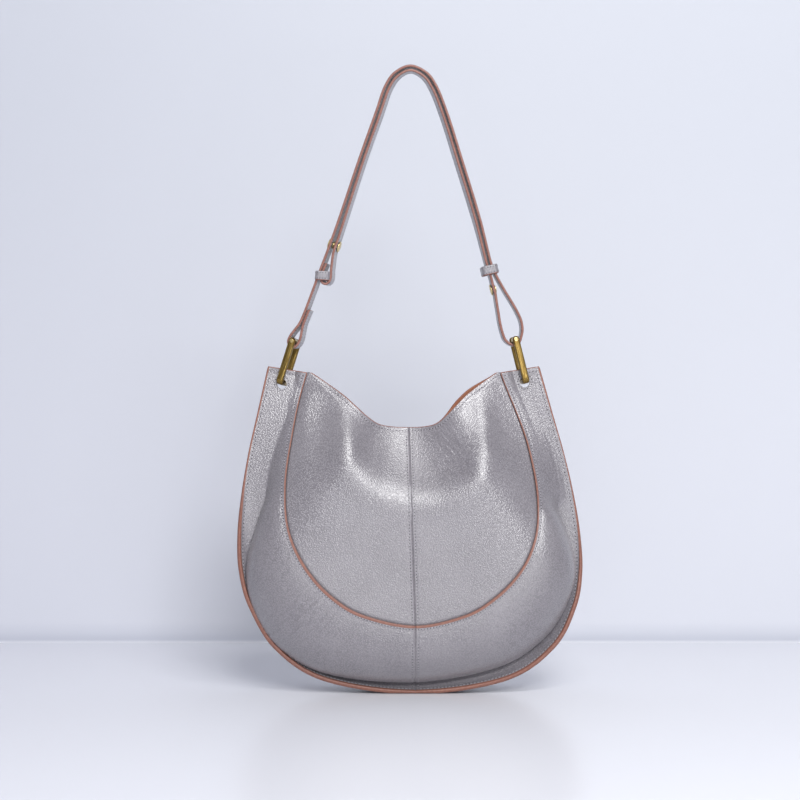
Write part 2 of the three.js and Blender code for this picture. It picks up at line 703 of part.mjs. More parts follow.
/** The strap's whole length as one ribbon. */
function strapRibbon() {
  const points = [...LEFT_LOOP, ...OUTER_RUN, ...RIGHT_LOOP, ...innerRun(), ...TAIL];
  const run = points.map(([x, z]) => new THREE.Vector3(x, 0, z));
  const curve = new THREE.CatmullRomCurve3(run, false, "centripetal");
  const count = (points.length - 1) * STRAP_STEPS;
  const frames = [];
  for (let i = 0; i <= count; i++) {
    const point = curve.getPoint(i / count);
    const [x, z] = onRun([point.x, point.z]);
    const at = new THREE.Vector3(x, 0, z);
    const wide = widthAt([point.x, point.z]);
    const across = wide.clone().cross(curve.getTangent(i / count)).normalize();
    frames.push({ at, across, wide });
  }
  const t = STRAP_THICK / 2;
  const w = STRAP_WIDE / 2;
  return sweep([[-t, -w], [t, -w], [t, w], [-t, w]], frames);
}

/** Moves a piece built along the strap (Z), across it (X) and over its width (Y) to its place. */
function onStrap(geometry, point, tilt) {
  const along = new THREE.Vector3(Math.sin(tilt), 0, Math.cos(tilt));
  const wide = widthAt(point);
  wide.addScaledVector(along, -wide.dot(along)).normalize();
  const across = wide.clone().cross(along);
  const basis = new THREE.Matrix4().makeBasis(across, wide, along);
  const [x, z] = onRun(point);
  return geometry.applyMatrix4(basis.setPosition(x, 0, z));
}

/** A turned piece whose profile is [radius, across] pairs, laid across the strap. */
const turned = (profile) =>
  new THREE.LatheGeometry(profile.map(([r, x]) => new THREE.Vector2(r, x)), 12).rotateZ(-Math.PI / 2);

/** A cutter for a snap's neck, through one run of the strap. */
function snapHole() {
  const r = SNAP_NECK_R + GAP;
  return new THREE.CylinderGeometry(r, r, 2 * STRAP_THICK, 16).rotateZ(Math.PI / 2);
}
const STRAP_FACE = STRAP_THICK / 2 + GAP;
const HOLES = [
  onStrap(snapHole().translate(-SNAP_APART, 0, 0), LEFT_SNAP, LEFT_TILT),
  onStrap(snapHole().translate(SNAP_APART, 0, 0), LEFT_SNAP, LEFT_TILT),
  onStrap(snapHole(), RIGHT_SNAP, RIGHT_TILT),
];
let strap = solidOf(strapRibbon());
for (const hole of HOLES) strap = strap.subtract(solidOf(hole));
add("shoulder_strap", geometryFrom(strap), STRAP_LEATHER);

// ---- Keepers ----
/** A closed leather band round the strap's runs. */
function keeper(inside) {
  const box = (halfX, halfY) => [[-halfX, -halfY], [halfX, -halfY], [halfX, halfY], [-halfX, halfY]];
  const shape = (x, y) => box(x, y).map(([u, v]) => new THREE.Vector2(u, v));
  const halfX = inside / 2;
  const halfY = STRAP_WIDE / 2 + KEEPER_SIDE_CLEARANCE;
  const outline = new THREE.Shape(shape(halfX + KEEPER_BAND, halfY + KEEPER_BAND));
  outline.holes.push(new THREE.Path(shape(halfX, halfY)));
  const band = new THREE.ExtrudeGeometry(outline, { depth: KEEPER_TALL, bevelEnabled: false });
  return band.translate(0, 0, -KEEPER_TALL / 2);
}
add("left_keeper", onStrap(keeper(LEFT_KEEPER_INSIDE), LEFT_KEEPER, LEFT_TILT), STRAP_LEATHER);
add("right_keeper", onStrap(keeper(RIGHT_KEEPER_INSIDE), RIGHT_KEEPER, RIGHT_TILT), STRAP_LEATHER);

// ---- Snaps ----
/** A snap's stud: a cap on one face of the strap, a neck through it and a stud on the other. */
const stud = () =>
  turned([
    [0, -STRAP_FACE - SNAP_CAP],
    [SNAP_R - SNAP_CAP, -STRAP_FACE - SNAP_CAP],
    [SNAP_R, -STRAP_FACE],
    [SNAP_NECK_R, -STRAP_FACE],
    [SNAP_NECK_R, STRAP_FACE],
    [SNAP_STUD_R, STRAP_FACE],
    [SNAP_STUD_R, STRAP_FACE + SNAP_STUD],
    [0, STRAP_FACE + SNAP_STUD],
  ]);

const LEFT_STUD = stud().translate(-SNAP_APART, 0, 0);
const LEFT_SOCKET = stud().rotateZ(Math.PI).translate(SNAP_APART, 0, 0);
add("left_snap_stud", onStrap(LEFT_STUD, LEFT_SNAP, LEFT_TILT), GOLD);
add("left_snap_socket", onStrap(LEFT_SOCKET, LEFT_SNAP, LEFT_TILT), GOLD);
add("right_snap", onStrap(stud(), RIGHT_SNAP, RIGHT_TILT), GOLD);

// The finished bag is centred over the origin.
const middle = new THREE.Box3().setFromObject(bag).getCenter(new THREE.Vector3());
for (const mesh of bag.children) mesh.geometry.translate(-middle.x, -middle.y, 0);

export default bag;
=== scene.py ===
import json
import math
import bpy
import numpy as np
from mathutils import Matrix, Vector


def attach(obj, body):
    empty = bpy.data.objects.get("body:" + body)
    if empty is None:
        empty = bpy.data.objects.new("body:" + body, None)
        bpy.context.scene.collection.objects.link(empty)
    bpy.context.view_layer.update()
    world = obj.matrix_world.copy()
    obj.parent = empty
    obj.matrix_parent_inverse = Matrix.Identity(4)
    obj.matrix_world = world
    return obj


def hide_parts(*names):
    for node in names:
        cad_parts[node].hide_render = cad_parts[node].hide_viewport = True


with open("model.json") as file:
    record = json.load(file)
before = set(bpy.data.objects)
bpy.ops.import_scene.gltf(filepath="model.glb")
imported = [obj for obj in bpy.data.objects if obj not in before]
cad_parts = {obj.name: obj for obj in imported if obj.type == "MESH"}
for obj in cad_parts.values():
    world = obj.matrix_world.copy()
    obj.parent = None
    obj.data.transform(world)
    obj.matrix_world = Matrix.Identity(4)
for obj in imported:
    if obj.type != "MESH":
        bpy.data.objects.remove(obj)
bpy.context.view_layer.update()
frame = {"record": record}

# ---- Front and back panels ----
# Eight pieces of grained calf: a U-shaped bib in two halves under a crescent in two halves, front and
# back. The bib tucks under the crescent, and the leather is drawn in a little along each row of stitches.
# Sizes are in millimetres, x from the middle of the pattern and z from the floor.
MM = 0.001
FRONT, BACK = 0, 1
LEATHER, GAP = 1.9, 0.3
# The body leans to the left towards its top, and the centre seam stands right of the middle.
LEAN, LEAN_FROM, HEIGHT = 8, 60, 306.4
SEAM_OFFSET, SEAM_SWAY = 3, 2.8
# How far the leathers stand from the bag's middle plane at the mouth, the U seam and the tabs.
MOUTH_FACE, SEAM_FACE, TAB_FACE = 6.25, 4.25, 0.9
# The left eyelet's place in the pattern, which the left ring's pivot gives in the shared frame.
EYELET = (-123.3, 291.5)
joints = {joint["name"]: joint for joint in frame["record"]["behaviour"]["joints"]}
eyelet_at = joints["strap_sway"]["pos_m"]
SHIFT_X = eyelet_at[0] / MM - EYELET[0]
SHIFT_Y = eyelet_at[1] / MM

# Half outlines as pattern points from a top corner to the bottom, or to the middle of the mouth.
SEAM = [(92, 300.7), (103.5, 265), (112, 230.5), (117, 196.5), (117, 165), (110.5, 139), (96.5, 114),
        (75, 92), (47, 75.5), (0, 65.7)]
RIM = [(128, 306.4), (139, 262), (148.5, 224), (155.5, 187), (160, 150), (160, 115), (152, 81),
       (129.5, 42.5), (84, 13), (0, 0.9)]
MOUTH = [(88.5, 301.2), (73.5, 291), (58.8, 280), (47, 269), (37, 259.5), (27, 252.3), (14, 249.6),
         (0, 249.2)]
# Ten stations along each half, from the top corner to the bottom. First, how far the belly stands out.
DEPTH = {FRONT: [0, 10, 20, 31, 39, 44, 46, 47, 47, 47], BACK: [0, 10, 20, 31, 41, 48, 53, 56, 58, 58]}
DEPTH_RIGHT = {FRONT: [0, 6, 12, 22, 35, 43, 46, 47, 47, 47], BACK: DEPTH[BACK]}
# The share of a crescent's width that its puffed belly takes.
BELLY_LEFT = {FRONT: [0.04, 0.07, 0.19, 0.355, 0.6, 0.85, 0.94, 0.94, 0.89, 0.82],
              BACK: [0.12, 0.3, 0.36, 0.5, 0.74, 0.92, 0.95, 0.95, 0.98, 1]}
BELLY_RIGHT = {FRONT: [0.04, 0.07, 0.14, 0.26, 0.62, 0.83, 0.84, 0.81, 0.79, 0.8], BACK: BELLY_LEFT[BACK]}
# The share of the width over which it falls to the flat tab, where it has no belly.
FALL_LEFT = {FRONT: [0.03, 0.21, 0.36, 0.47, 0.6, 0.75, 0.81, 0.81, 0.77, 0.75],
             BACK: [0.12, 0.3, 0.36, 0.5, 0.74, 0.95, 0.95, 0.95, 0.95, 0.95]}
FALL_RIGHT = {FRONT: [0.6, 0.7, 0.7, 0.68, 0.68, 0.76, 0.76, 0.73, 0.71, 0.74], BACK: FALL_LEFT[BACK]}
# How far the rim curls forward, and how far the whole flat edge stands forward.
CURL_LEFT = [0, 0, 0.5, 2, 5, 8, 11, 12, 12, 12]
CURL_RIGHT = [0, 0, 0, 0, 1, 4, 9, 12, 12, 12]
TILT_LEFT = [0, 7.5, 13, 15.5, 15.5, 13, 10.5, 9, 9, 9]
TILT_RIGHT = [0, 2.5, 3.5, 3, 3, 5, 8, 9, 9, 9]
# A crescent's profile has this many steps from its seam to its rim, and the curl starts at the seventh.
PROFILE_STEPS, CURL_FROM = 11, 7
CURL_SHAPE = [0] * CURL_FROM + [0, 0.05, 0.2, 0.5, 1]
# Where the drawn-back upper part of each half bib folds, as a share of its height.
RIDGE_LEFT = [0.02, 0.05, 0.165, 0.25, 0.31, 0.36]
RIDGE_RIGHT = [0.05, 0.19, 0.375, 0.4, 0.39, 0.36]


def smooth(x, low, high):
    """0 below low, 1 above high, and a soft step between."""
    t = np.clip((np.asarray(x, float) - low) / (high - low), 0, 1)
    return t * t * (3 - 2 * t)


def mix(a, b, t):
    return a + (b - a) * t


def unit(vectors):
    """Vectors of length 1, along the last axis."""
    return vectors / np.maximum(np.linalg.norm(vectors, axis=-1, keepdims=True), 1e-9)


def spline(points, t):
    """A Catmull-Rom curve through rows of points, at positions t from 0 to len(points) - 1."""
    p = np.asarray(points, float)
    t = np.asarray(t, float)
    i = np.clip(np.floor(t).astype(int), 0, len(p) - 2)
    f = t - i
    ends = np.concatenate([[2 * p[0] - p[1]], p, [2 * p[-1] - p[-2]]])
    if p.ndim == 1:
        p0, p1, p2, p3 = (ends[i + k] for k in range(4))
    elif p.ndim == 2 and p.shape[1] == len(t) and t.ndim == 2:
        rows = np.arange(len(t))[:, None]
        p0, p1, p2, p3 = (ends[i + k, rows] for k in range(4))
    m1, m2 = (p2 - p0) / 2, (p3 - p1) / 2
    return (p1 * (2 * f**3 - 3 * f**2 + 1) + m1 * (f**3 - 2 * f**2 + f)
            + p2 * (3 * f**2 - 2 * f**3) + m2 * (f**3 - f**2))


def along(half, a, sign=1, right=None):
    """The value at a, from -1 at the left corner to 1 at the right, of a list of stations."""
    whole = [v * sign for v in half] + list((right or half)[:-1])[::-1]
    return spline(whole, (np.asarray(a) + 1) / 2 * (len(whole) - 1))


def outline(points, a):
    """x and z of an outline at a, with the bag's lean and the centre seam's offset."""
    x = along([p[0] for p in points], a, -1)
    z = along([p[1] for p in points], a)
    lean = LEAN * np.clip((z - LEAN_FROM) / (HEIGHT - LEAN_FROM), 0, 1)
    sway = SEAM_SWAY * smooth(z, 70, 130) * (1 - smooth(z, 230, 295)) if points is SEAM else 0
    return np.stack([x - lean + sway + SEAM_OFFSET * (1 - np.abs(a)) ** 2, z], -1)


def side_surface(a, b, face):
    """A crescent's inner face: a along the bag, b from 0 at the U seam to 1 at the rim."""
    seam, rim = outline(SEAM, a), outline(RIM, a)
    reach = rim - seam
    width = np.linalg.norm(reach, axis=-1)
    reach = reach / width[:, None]
    depth = along(DEPTH[face], a, 1, DEPTH_RIGHT[face])
    belly = along(BELLY_LEFT[face], a, 1, BELLY_RIGHT[face]) * width
    joint = along(BELLY_LEFT[FRONT], a, 1, BELLY_RIGHT[FRONT]) * width * 0.9
    half = mix(GAP / 2, TAB_FACE, 1 - smooth(1 - np.abs(a), 0.05, 0.2))
    puffed = [
        (0 * belly, depth), (0.3 * belly, 0.985 * depth), (0.6 * belly, 0.89 * depth),
        (0.84 * belly, 0.67 * depth), (belly, 0.34 * depth),
        (mix(joint, belly, 0.85), 0.17 * depth), (mix(joint, belly, 0.45), 0.06 * depth),
        (mix(joint, width, 0.08), half + 0.2), (mix(joint, width, 0.35), half),
        (mix(joint, width, 0.62), half), (mix(joint, width, 0.86), half), (width, half),
    ]
    # Beside the tabs it falls from the seam to the crease without a puff: straight at the left, and
    # in a soft hollow at the right.
    fall = along(FALL_LEFT[face], a, 1, FALL_RIGHT[face]) * width
    straight = [(0, 1), (0.17, 0.9), (0.34, 0.76), (0.5, 0.6), (0.66, 0.42), (0.81, 0.23), (0.93, 0.08)]
    soft = [1, 0.84, 0.68, 0.53, 0.39, 0.26, 0.15]
    full = smooth(belly, 9, 24)
    for k, (outward, forward) in enumerate(straight):
        forward = np.where(a < 0, forward, soft[k])
        puffed[k] = (mix(outward * fall, puffed[k][0], full), mix(forward * depth, puffed[k][1], full))
    puffed[7] = (mix(mix(fall, width, 0.08), puffed[7][0], full), puffed[7][1])
    for k, share in ((8, 0.35), (9, 0.62), (10, 0.86)):
        puffed[k] = (mix(mix(fall, width, share), puffed[k][0], full), half)
    for k, forward in ((7, 0.09), (8, 0.035), (9, 0.01)):
        puffed[k] = (puffed[k][0], half + np.where(a < 0, 0, forward * depth * (1 - full)))
    rise = smooth(depth, 0, 12)
    outs, fors = [], []
    for k, (outward, forward) in enumerate(puffed):
        share = k / PROFILE_STEPS
        flat = mix(SEAM_FACE, TAB_FACE, smooth(share, 0.13, 0.28))
        outs.append(mix(width * share, outward, rise))
        fors.append(np.maximum(half, mix(flat, forward, rise)))
    t = np.broadcast_to(np.asarray(b) * PROFILE_STEPS, (len(a), len(b)))
    outward = spline(np.array(outs), t)
    forward = np.maximum(spline(np.array(fors), t), half[:, None])
    curl = np.minimum(along(CURL_LEFT, a, 1, CURL_RIGHT), 1.5 * (width - joint))[:, None]
    curl = curl * spline(CURL_SHAPE, t)
    out = np.clip(forward / np.maximum(depth, 1)[:, None], 0, 1)
    curl = curl + along(TILT_LEFT, a, 1, TILT_RIGHT)[:, None] * (1 - out)
    y = (-forward if face == FRONT else forward) - curl
    x = seam[:, :1] + reach[:, :1] * outward
    z = seam[:, 1:] + reach[:, 1:] * outward
    if face == BACK:
        z = np.maximum(z, np.where(t < CURL_FROM, LEATHER, 0))
    return np.stack([x, y, z], -1)


def normals_of(grid, face):
    """Outward unit normals of a grid of points that runs left to right and from the middle outwards."""
    across = np.gradient(grid, axis=0)
    down = np.gradient(grid, axis=1)
    n = unit(np.cross(across, down))
    return -n if face == FRONT else n


def bib_surface(a, b, face):
    """A bib's outer face: b from 0 at the mouth to 1 at the U seam. Its upper part is drawn back."""
    seam_row = side_surface(a, np.array([0.0, 0.01]), face)
    n = normals_of(side_surface(a, np.array([0.0, 0.004, 0.008]), face), face)[:, 0]
    seam = seam_row[:, 0] - n * GAP
    mouth = outline(MOUTH, a)
    ridge = np.where(a < 0, spline(RIDGE_LEFT, (1 + a) * 5), spline(RIDGE_RIGHT, (1 - a) * 5))
    b = np.asarray(b)[None, :]
    r = ridge[:, None]
    fine = np.linspace(0, 1, 401)[None, :]
    height = np.linalg.norm(seam[:, [0, 2]] - mouth, axis=-1)[:, None]
    # It slopes forward from the mouth, turns over the fold within a couple of centimetres, and hangs.
    bend = np.clip(np.where(a < 0, 24, 18)[:, None] / height, 0.095, 0.34)
    slope = mix(0.75, 1, smooth(fine / r, 0, 0.6)) * (1 - 0.93 * smooth(fine, r - bend, r + 1.15 * bend))
    climb = np.cumsum(slope, axis=1) - slope[:, :1]
    climb = np.stack([np.interp(b[0], fine[0], row / row[-1]) for row in climb])
    near_ridge = smooth(r, 0.03, 0.26)
    rise = mix(smooth(b, -0.15, 0.75) * 1.02, climb, near_ridge)
    rise = np.minimum(mix(np.sqrt(b), 1, near_ridge) * rise, 1)
    # A soft roll stands on the fold, with a shallow hollow above it.
    beyond = (b - r) * height
    fold = 1.1 * np.exp(-(beyond / 15) ** 2) - 0.3 * np.exp(-((beyond + 26) / 14) ** 2)
    fold = fold * smooth(b, 0, 0.1) * (1 - smooth(b, 0.7, 1)) * (1 - smooth(np.abs(a), 0.85, 1))[:, None]
    near = mix(MOUTH_FACE, SEAM_FACE - GAP, smooth(np.abs(a), 0.6, 1)) + 8 * np.sin(np.pi * np.abs(a)) ** 2
    depth = mix(near[:, None], np.abs(seam[:, 1])[:, None], rise) + (fold if face == FRONT else 0.5 * fold)
    # The back's mouth stands a little higher at the right, so that its lining shows.
    lift = 3.6 * smooth(a, 0.36, 0.62) * (1 - smooth(a, 0.7, 0.98)) if face == BACK else 0 * a
    x = mix(mouth[:, :1], seam[:, :1], b)
    z = mix(mouth[:, 1:] + lift[:, None], seam[:, 2:], b)
    return np.stack([x, -depth if face == FRONT else depth, z], -1)


def mesh_from(name, points, faces, materials, groups=None, smooth_shade=True):
    """A mesh object from points in the pattern's millimetres; groups says which material each face has."""
    points = np.asarray(points, float) + (SHIFT_X, SHIFT_Y, 0)
    mesh = bpy.data.meshes.new(name)
    mesh.from_pydata((points * MM).tolist(), [], faces)
    mesh.update()
    for each in materials:
        mesh.materials.append(each)
    if groups is not None:
        mesh.polygons.foreach_set("material_index", groups)
    if smooth_shade:
        mesh.polygons.foreach_set("use_smooth", [True] * len(mesh.polygons))
    piece = bpy.data.objects.new(name, mesh)
    bpy.context.scene.collection.objects.link(piece)
    return piece


def sheet(name, outer, normal, thick, face, materials, painted=(), paint_in=0):
    """A sheet of leather or cloth with rounded edges, its outer side a grid of points.

    painted names the sides whose edges have the second material, a0, a1, b0 or b1, and paint_in says
    how many rows of the outer side beside them have it too.
    """
    na, nb = outer.shape[:2]
    inner = outer - normal * thick
    inner[..., 2] = np.maximum(inner[..., 2], 0)
    ring = [(i, 0) for i in range(na)] + [(na - 1, j) for j in range(1, nb)]
    ring += [(i, nb - 1) for i in range(na - 2, -1, -1)] + [(0, j) for j in range(nb - 2, 0, -1)]
    index = np.arange(na * nb).reshape(na, nb)
    points = [outer.reshape(-1, 3), inner.reshape(-1, 3)]
    faces, groups = [], []

    def quad(p, q, r, s, group):
        faces.append((p, q, r, s) if face == BACK else (s, r, q, p))
        groups.append(group)

    inside = index + na * nb
    for i in range(na - 1):
        for j in range(nb - 1):
            near = ("b0" in painted and j < paint_in) or ("b1" in painted and j >= nb - 1 - paint_in)
            quad(index[i, j], index[i + 1, j], index[i + 1, j + 1], index[i, j + 1], int(near))
            quad(inside[i, j + 1], inside[i + 1, j + 1], inside[i + 1, j], inside[i, j], 0)
    count = len(ring)
    out = np.zeros((count, 3))
    for k, (i, j) in enumerate(ring):
        if j == 0:
            out[k] += outer[i, 0] - outer[i, 1]
        if j == nb - 1:
            out[k] += outer[i, -1] - outer[i, -2]
        if i == 0:
            out[k] += outer[0, j] - outer[1, j]
        if i == na - 1:
            out[k] += outer[-1, j] - outer[-2, j]
    out = unit(out)
    top = np.array([outer[i, j] for i, j in ring])
    low = np.array([inner[i, j] for i, j in ring])
    rows = [np.array([index[i, j] for i, j in ring])]
    base = 2 * na * nb
    steps = 6
    for s in range(1, steps):
        angle = math.pi * s / steps
        row = (top + low) / 2 + (top - low) / 2 * math.cos(angle) + out * (0.45 * thick * math.sin(angle))
        row[:, 2] = np.maximum(row[:, 2], 0)
        points.append(row)
        rows.append(np.arange(count) + base)
        base += count
    rows.append(np.array([inside[i, j] for i, j in ring]))
    for k in range(count):
        k2 = (k + 1) % count
        (i, j), (i2, j2) = ring[k], ring[k2]
        if j == 0 and j2 == 0:
            side = "b0"
        elif j == nb - 1 and j2 == nb - 1:
            side = "b1"
        elif i == 0 and i2 == 0:
            side = "a0"
        else:
            side = "a1"
        for s in range(steps):
            quad(rows[s][k2], rows[s][k], rows[s + 1][k], rows[s + 1][k2], int(side in painted))
    return mesh_from(name, np.concatenate(points), faces, materials, groups)


def linear(code, alpha=1.0):
    """A linear colour from an sRGB hex code."""
    out = []
    for k in (1, 3, 5):
        c = int(code[k:k + 2], 16) / 255
        out.append(c / 12.92 if c <= 0.04045 else ((c + 0.055) / 1.055) ** 2.4)
    return (*out, alpha)


def feed(tree, into, links):
    """Links a node's inputs to sockets, or to other nodes' first live outputs."""
    for key, source in links.items():
        if isinstance(source, bpy.types.Node):
            source = next(out for out in source.outputs if out.enabled)
        tree.links.new(source, into.inputs[key])
    return into


def node(tree, kind, settings=None, links=None, **values):
    """Adds a node: settings are its attributes, values its inputs, links the inputs that are fed."""
    n = tree.nodes.new(kind)
    for key, value in (settings or {}).items():
        setattr(n, key, value)
    for key, value in values.items():
        n.inputs[key.replace("_", " ")].default_value = value
    return feed(tree, n, links or {})


def material(name, **finish):
    """A material with its tree, its shader with the finish's inputs set, and Object coordinates."""
    m = bpy.data.materials.new(name)
    m.use_nodes = True
    tree = m.node_tree
    shader = tree.nodes["Principled BSDF"]
    for key, value in finish.items():
        shader.inputs[key.replace("_", " ")].default_value = value
    where = node(tree, "ShaderNodeTexCoord").outputs["Object"]
    return m, tree, shader, where


# Settings of a colour mix and of a soft step between two values.
COLOUR = {"data_type": "RGBA"}
STEP = {"interpolation_type": "SMOOTHSTEP"}


# Shrunken calf, drum-dyed a cool grey: its pebbled grain catches small soft glints on its tops, shade is
# painted into the hollows between pebbles as a darker colour, and a thin finish lays a broad sheen over both.
def grained_leather(name, base, valley_shade, top, pebble, depth):
    """Leather whose grain is rounded pebbles, pebble across and depth high in millimetres."""
    m, tree, shader, where = material(name, Specular_IOR_Level=0.95, Coat_Weight=0.2, Coat_Roughness=0.3,
                                      Sheen_Weight=0.12, Sheen_Roughness=0.6)
    # The rows of pebbles wander by a millimetre every 5 or 6, pores are 0.4 mm wide, clouds 45 mm.
    warp = node(tree, "ShaderNodeTexNoise", None, {"Vector": where}, Scale=0.18 / MM, Detail=2.0)
    moved = node(tree, "ShaderNodeVectorMath", {"operation": "MULTIPLY_ADD"},
                 {0: warp.outputs["Color"], 2: where})
    moved.inputs[1].default_value = (1.1 * MM,) * 3
    cells = node(tree, "ShaderNodeTexVoronoi", {"feature": "SMOOTH_F1"}, {"Vector": moved},
                 Scale=1 / (pebble * MM), Smoothness=0.2, Randomness=1.0)
    pores = node(tree, "ShaderNodeTexNoise", None, {"Vector": where}, Scale=2.6 / MM, Detail=3.0)
    clouds = node(tree, "ShaderNodeTexNoise", None, {"Vector": where}, Scale=0.022 / MM, Detail=3.0)
    hill = node(tree, "ShaderNodeMapRange", STEP, {"Value": cells}, From_Max=0.8, To_Min=1.0, To_Max=0.0)
    height = node(tree, "ShaderNodeMath", {"operation": "MULTIPLY_ADD"}, {0: pores, 2: hill})
    height.inputs[1].default_value = 0.22
    bump = node(tree, "ShaderNodeBump", None, {"Height": height}, Distance=depth * MM, Strength=0.78)
    # The hollows' darker colour is painted shade in the grain.
    tone = node(tree, "ShaderNodeMix", COLOUR, {"Factor": hill}, A=linear(valley_shade), B=linear(base))
    cloudy = node(tree, "ShaderNodeMapRange", STEP, {"Value": clouds},
                  From_Min=0.35, From_Max=0.7, To_Max=0.25)
    drift = node(tree, "ShaderNodeMix", COLOUR, {
        "Factor": cloudy, "A": tone}, B=linear(top))
    gloss = node(tree, "ShaderNodeMapRange", STEP, {"Value": pores},
                 From_Min=0.3, From_Max=0.7, To_Min=0.25, To_Max=0.32)
    feed(tree, shader, {"Base Color": drift, "Roughness": gloss, "Normal": bump})
    return m


# Edges are ground round and painted tan in several coats: a soft, even shine, a little darker in the
# hollows that the coats leave every 2 or 3 mm.
def painted_edge(name, colour, worn):
    """Edge paint, mostly colour and in its hollows worn."""
    m, tree, shader, where = material(name, Roughness=0.42)
    uneven = node(tree, "ShaderNodeTexNoise", None, {"Vector": where}, Scale=0.42 / MM, Detail=3.0)
    coated = node(tree, "ShaderNodeMapRange", STEP, {"Value": uneven}, From_Min=0.3, From_Max=0.75)
    tone = node(tree, "ShaderNodeMix", COLOUR, {"Factor": coated}, A=linear(worn), B=linear(colour))
    bump = node(tree, "ShaderNodeBump", None, {"Height": uneven}, Distance=0.08 * MM, Strength=0.6)
    feed(tree, shader, {"Base Color": tone, "Normal": bump})
    return m


CALF = grained_leather("shrunken_calf_leather", "#8e8a90", "#736f75", "#959197", 1.35, 0.2)
PAINT = painted_edge("tan_edge_paint", "#946657", "#82564a")


def lines_in(distance, depth, width):
    """How far a row of stitches draws the leather in, at a distance from the row."""
    return -depth * np.exp(-((distance / width) ** 2))


def from_edge(grid, axis, end):
    """Distance of each grid point along the surface from one of the grid's edges."""
    steps = np.linalg.norm(np.diff(grid, axis=axis), axis=-1)
    total = np.cumsum(steps, axis=axis)
    zero = np.zeros_like(np.take(total, [0], axis=axis))
    length = np.concatenate([zero, total], axis=axis)
    return length if end == 0 else np.take(length, [-1], axis=axis) - length


def ripples(p, centre, size, turn, wave, height, seed):
    """Short creases inside a soft oval on the front: turn is their direction, wave their spacing."""
    r = np.random.default_rng(seed)
    u = (p[..., 0] - centre[0]) * math.cos(turn) + (p[..., 2] - centre[1]) * math.sin(turn)
    v = -(p[..., 0] - centre[0]) * math.sin(turn) + (p[..., 2] - centre[1]) * math.cos(turn)
    window = np.exp(-((u / size[0]) ** 2 + (v / size[1]) ** 2))
    total = 0
    for _ in range(7):
        k = 2 * math.pi / (wave * r.uniform(0.7, 1.7))
        across = u + v * math.tan(r.uniform(-0.35, 0.35))
        bend = 1.6 * np.sin(v / (wave * r.uniform(1.2, 2.6)) + r.uniform(0, 6))
        strength = 0.5 + 0.5 * np.sin(v / (wave * r.uniform(1, 2.5)) + u / wave + r.uniform(0, 6))
        total = total + np.sin(k * across + bend + r.uniform(0, 6)) * strength
    return height * window * total / 2.5


def columns(side, part):
    """Places along half a panel, closer together beside the centre seam."""
    count = {"side": 330, "bib": 130}[part]
    out = np.concatenate([np.linspace(0, 0.012, 8)[:-1], np.linspace(0.012, 1, count)])
    return -out[::-1] if side == "left" else out


panels = {}
for face, word in ((FRONT, "front"), (BACK, "back")):
    for side in ("left", "right"):
        shift = -GAP / 2 if side == "left" else GAP / 2
        a = columns(side, "side")
        b = np.concatenate([[0, 0.004, 0.009], np.linspace(0.016, 1, 78)])
        inner = side_surface(a, b, face)
        n = normals_of(inner, face)
        outer = inner + n * LEATHER
        outer[..., 0] += shift
        from_seam = from_edge(outer, 1, 0)
        from_middle = np.abs(from_edge(outer, 0, 1 if side == "left" else 0))
        # The row along the U seam, the centre seam itself and the row beside it: place, depth, width.
        dip = lines_in(from_seam - 3.0, 0.22, 0.8) + lines_in(from_middle, 0.7, 0.5)
        dip += lines_in(from_middle - 2.7, 0.15, 0.7)
        # Short creases where the front's lower corners are pushed in.
        if face == FRONT:
            dip += ripples(outer, (-108, 62), (26, 30), math.radians(-48), 7.5, 0.75, 11)
            dip += ripples(outer, (-66, 28), (36, 12), math.radians(-12), 8, 0.5, 12)
            dip += ripples(outer, (108, 58), (26, 26), math.radians(50), 8, 0.3, 13)
        outer += n * dip[..., None]
        outer[..., 2] = np.maximum(outer[..., 2], 0)
        painted = {"b0", "b1", "a0" if side == "left" else "a1"}
        piece = sheet(f"{word}_side_{side}", outer, n, LEATHER, face, (CALF, PAINT), painted, 2)
        panels[piece.name] = (piece, outer, n)
        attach(piece, "bag")
        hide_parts(f"{word}_side_panel_{side}")

        a = columns(side, "bib")
        b = np.concatenate([[0, 0.003], np.linspace(0.008, 1, 150)])
        outer = bib_surface(a, b, face)
        under = side_surface(a, np.linspace(0.004, 0.03, 4), face)
        under -= normals_of(under, face) * GAP
        outer = np.concatenate([outer, under], axis=1)
        n = normals_of(outer, face)
        outer[..., 0] += shift
        from_mouth = from_edge(outer, 1, 0)
        from_middle = np.abs(from_edge(outer, 0, 1 if side == "left" else 0))
        dip = lines_in(from_middle, 0.7, 0.5) + lines_in(from_middle - 2.7, 0.12, 0.6)
        dip += lines_in(from_mouth - 3, 0.15, 0.7)
        # It sinks under the crescent at the U seam, and stays down over the last four rows, beneath it.
        at_seam = lines_in(from_edge(outer[:, :-4], 1, 1), 0.8, 1.6)
        dip += np.concatenate([at_seam, np.repeat(at_seam[:, -1:], 4, axis=1)], axis=1)
        # Fine wrinkles slant across the right of the drawn-back part.
        if face == FRONT:
            dip += ripples(outer, (36, 230), (15, 30), math.radians(35), 4.2, 0.24, 3)
        outer += n * dip[..., None]
        piece = sheet(f"{word}_bib_{side}_leather", outer, n, LEATHER, face, (CALF, PAINT), {"b0"})
        panels[piece.name] = (piece, outer, n)
        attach(piece, "bag")
        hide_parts(f"{word}_bib_{side}")


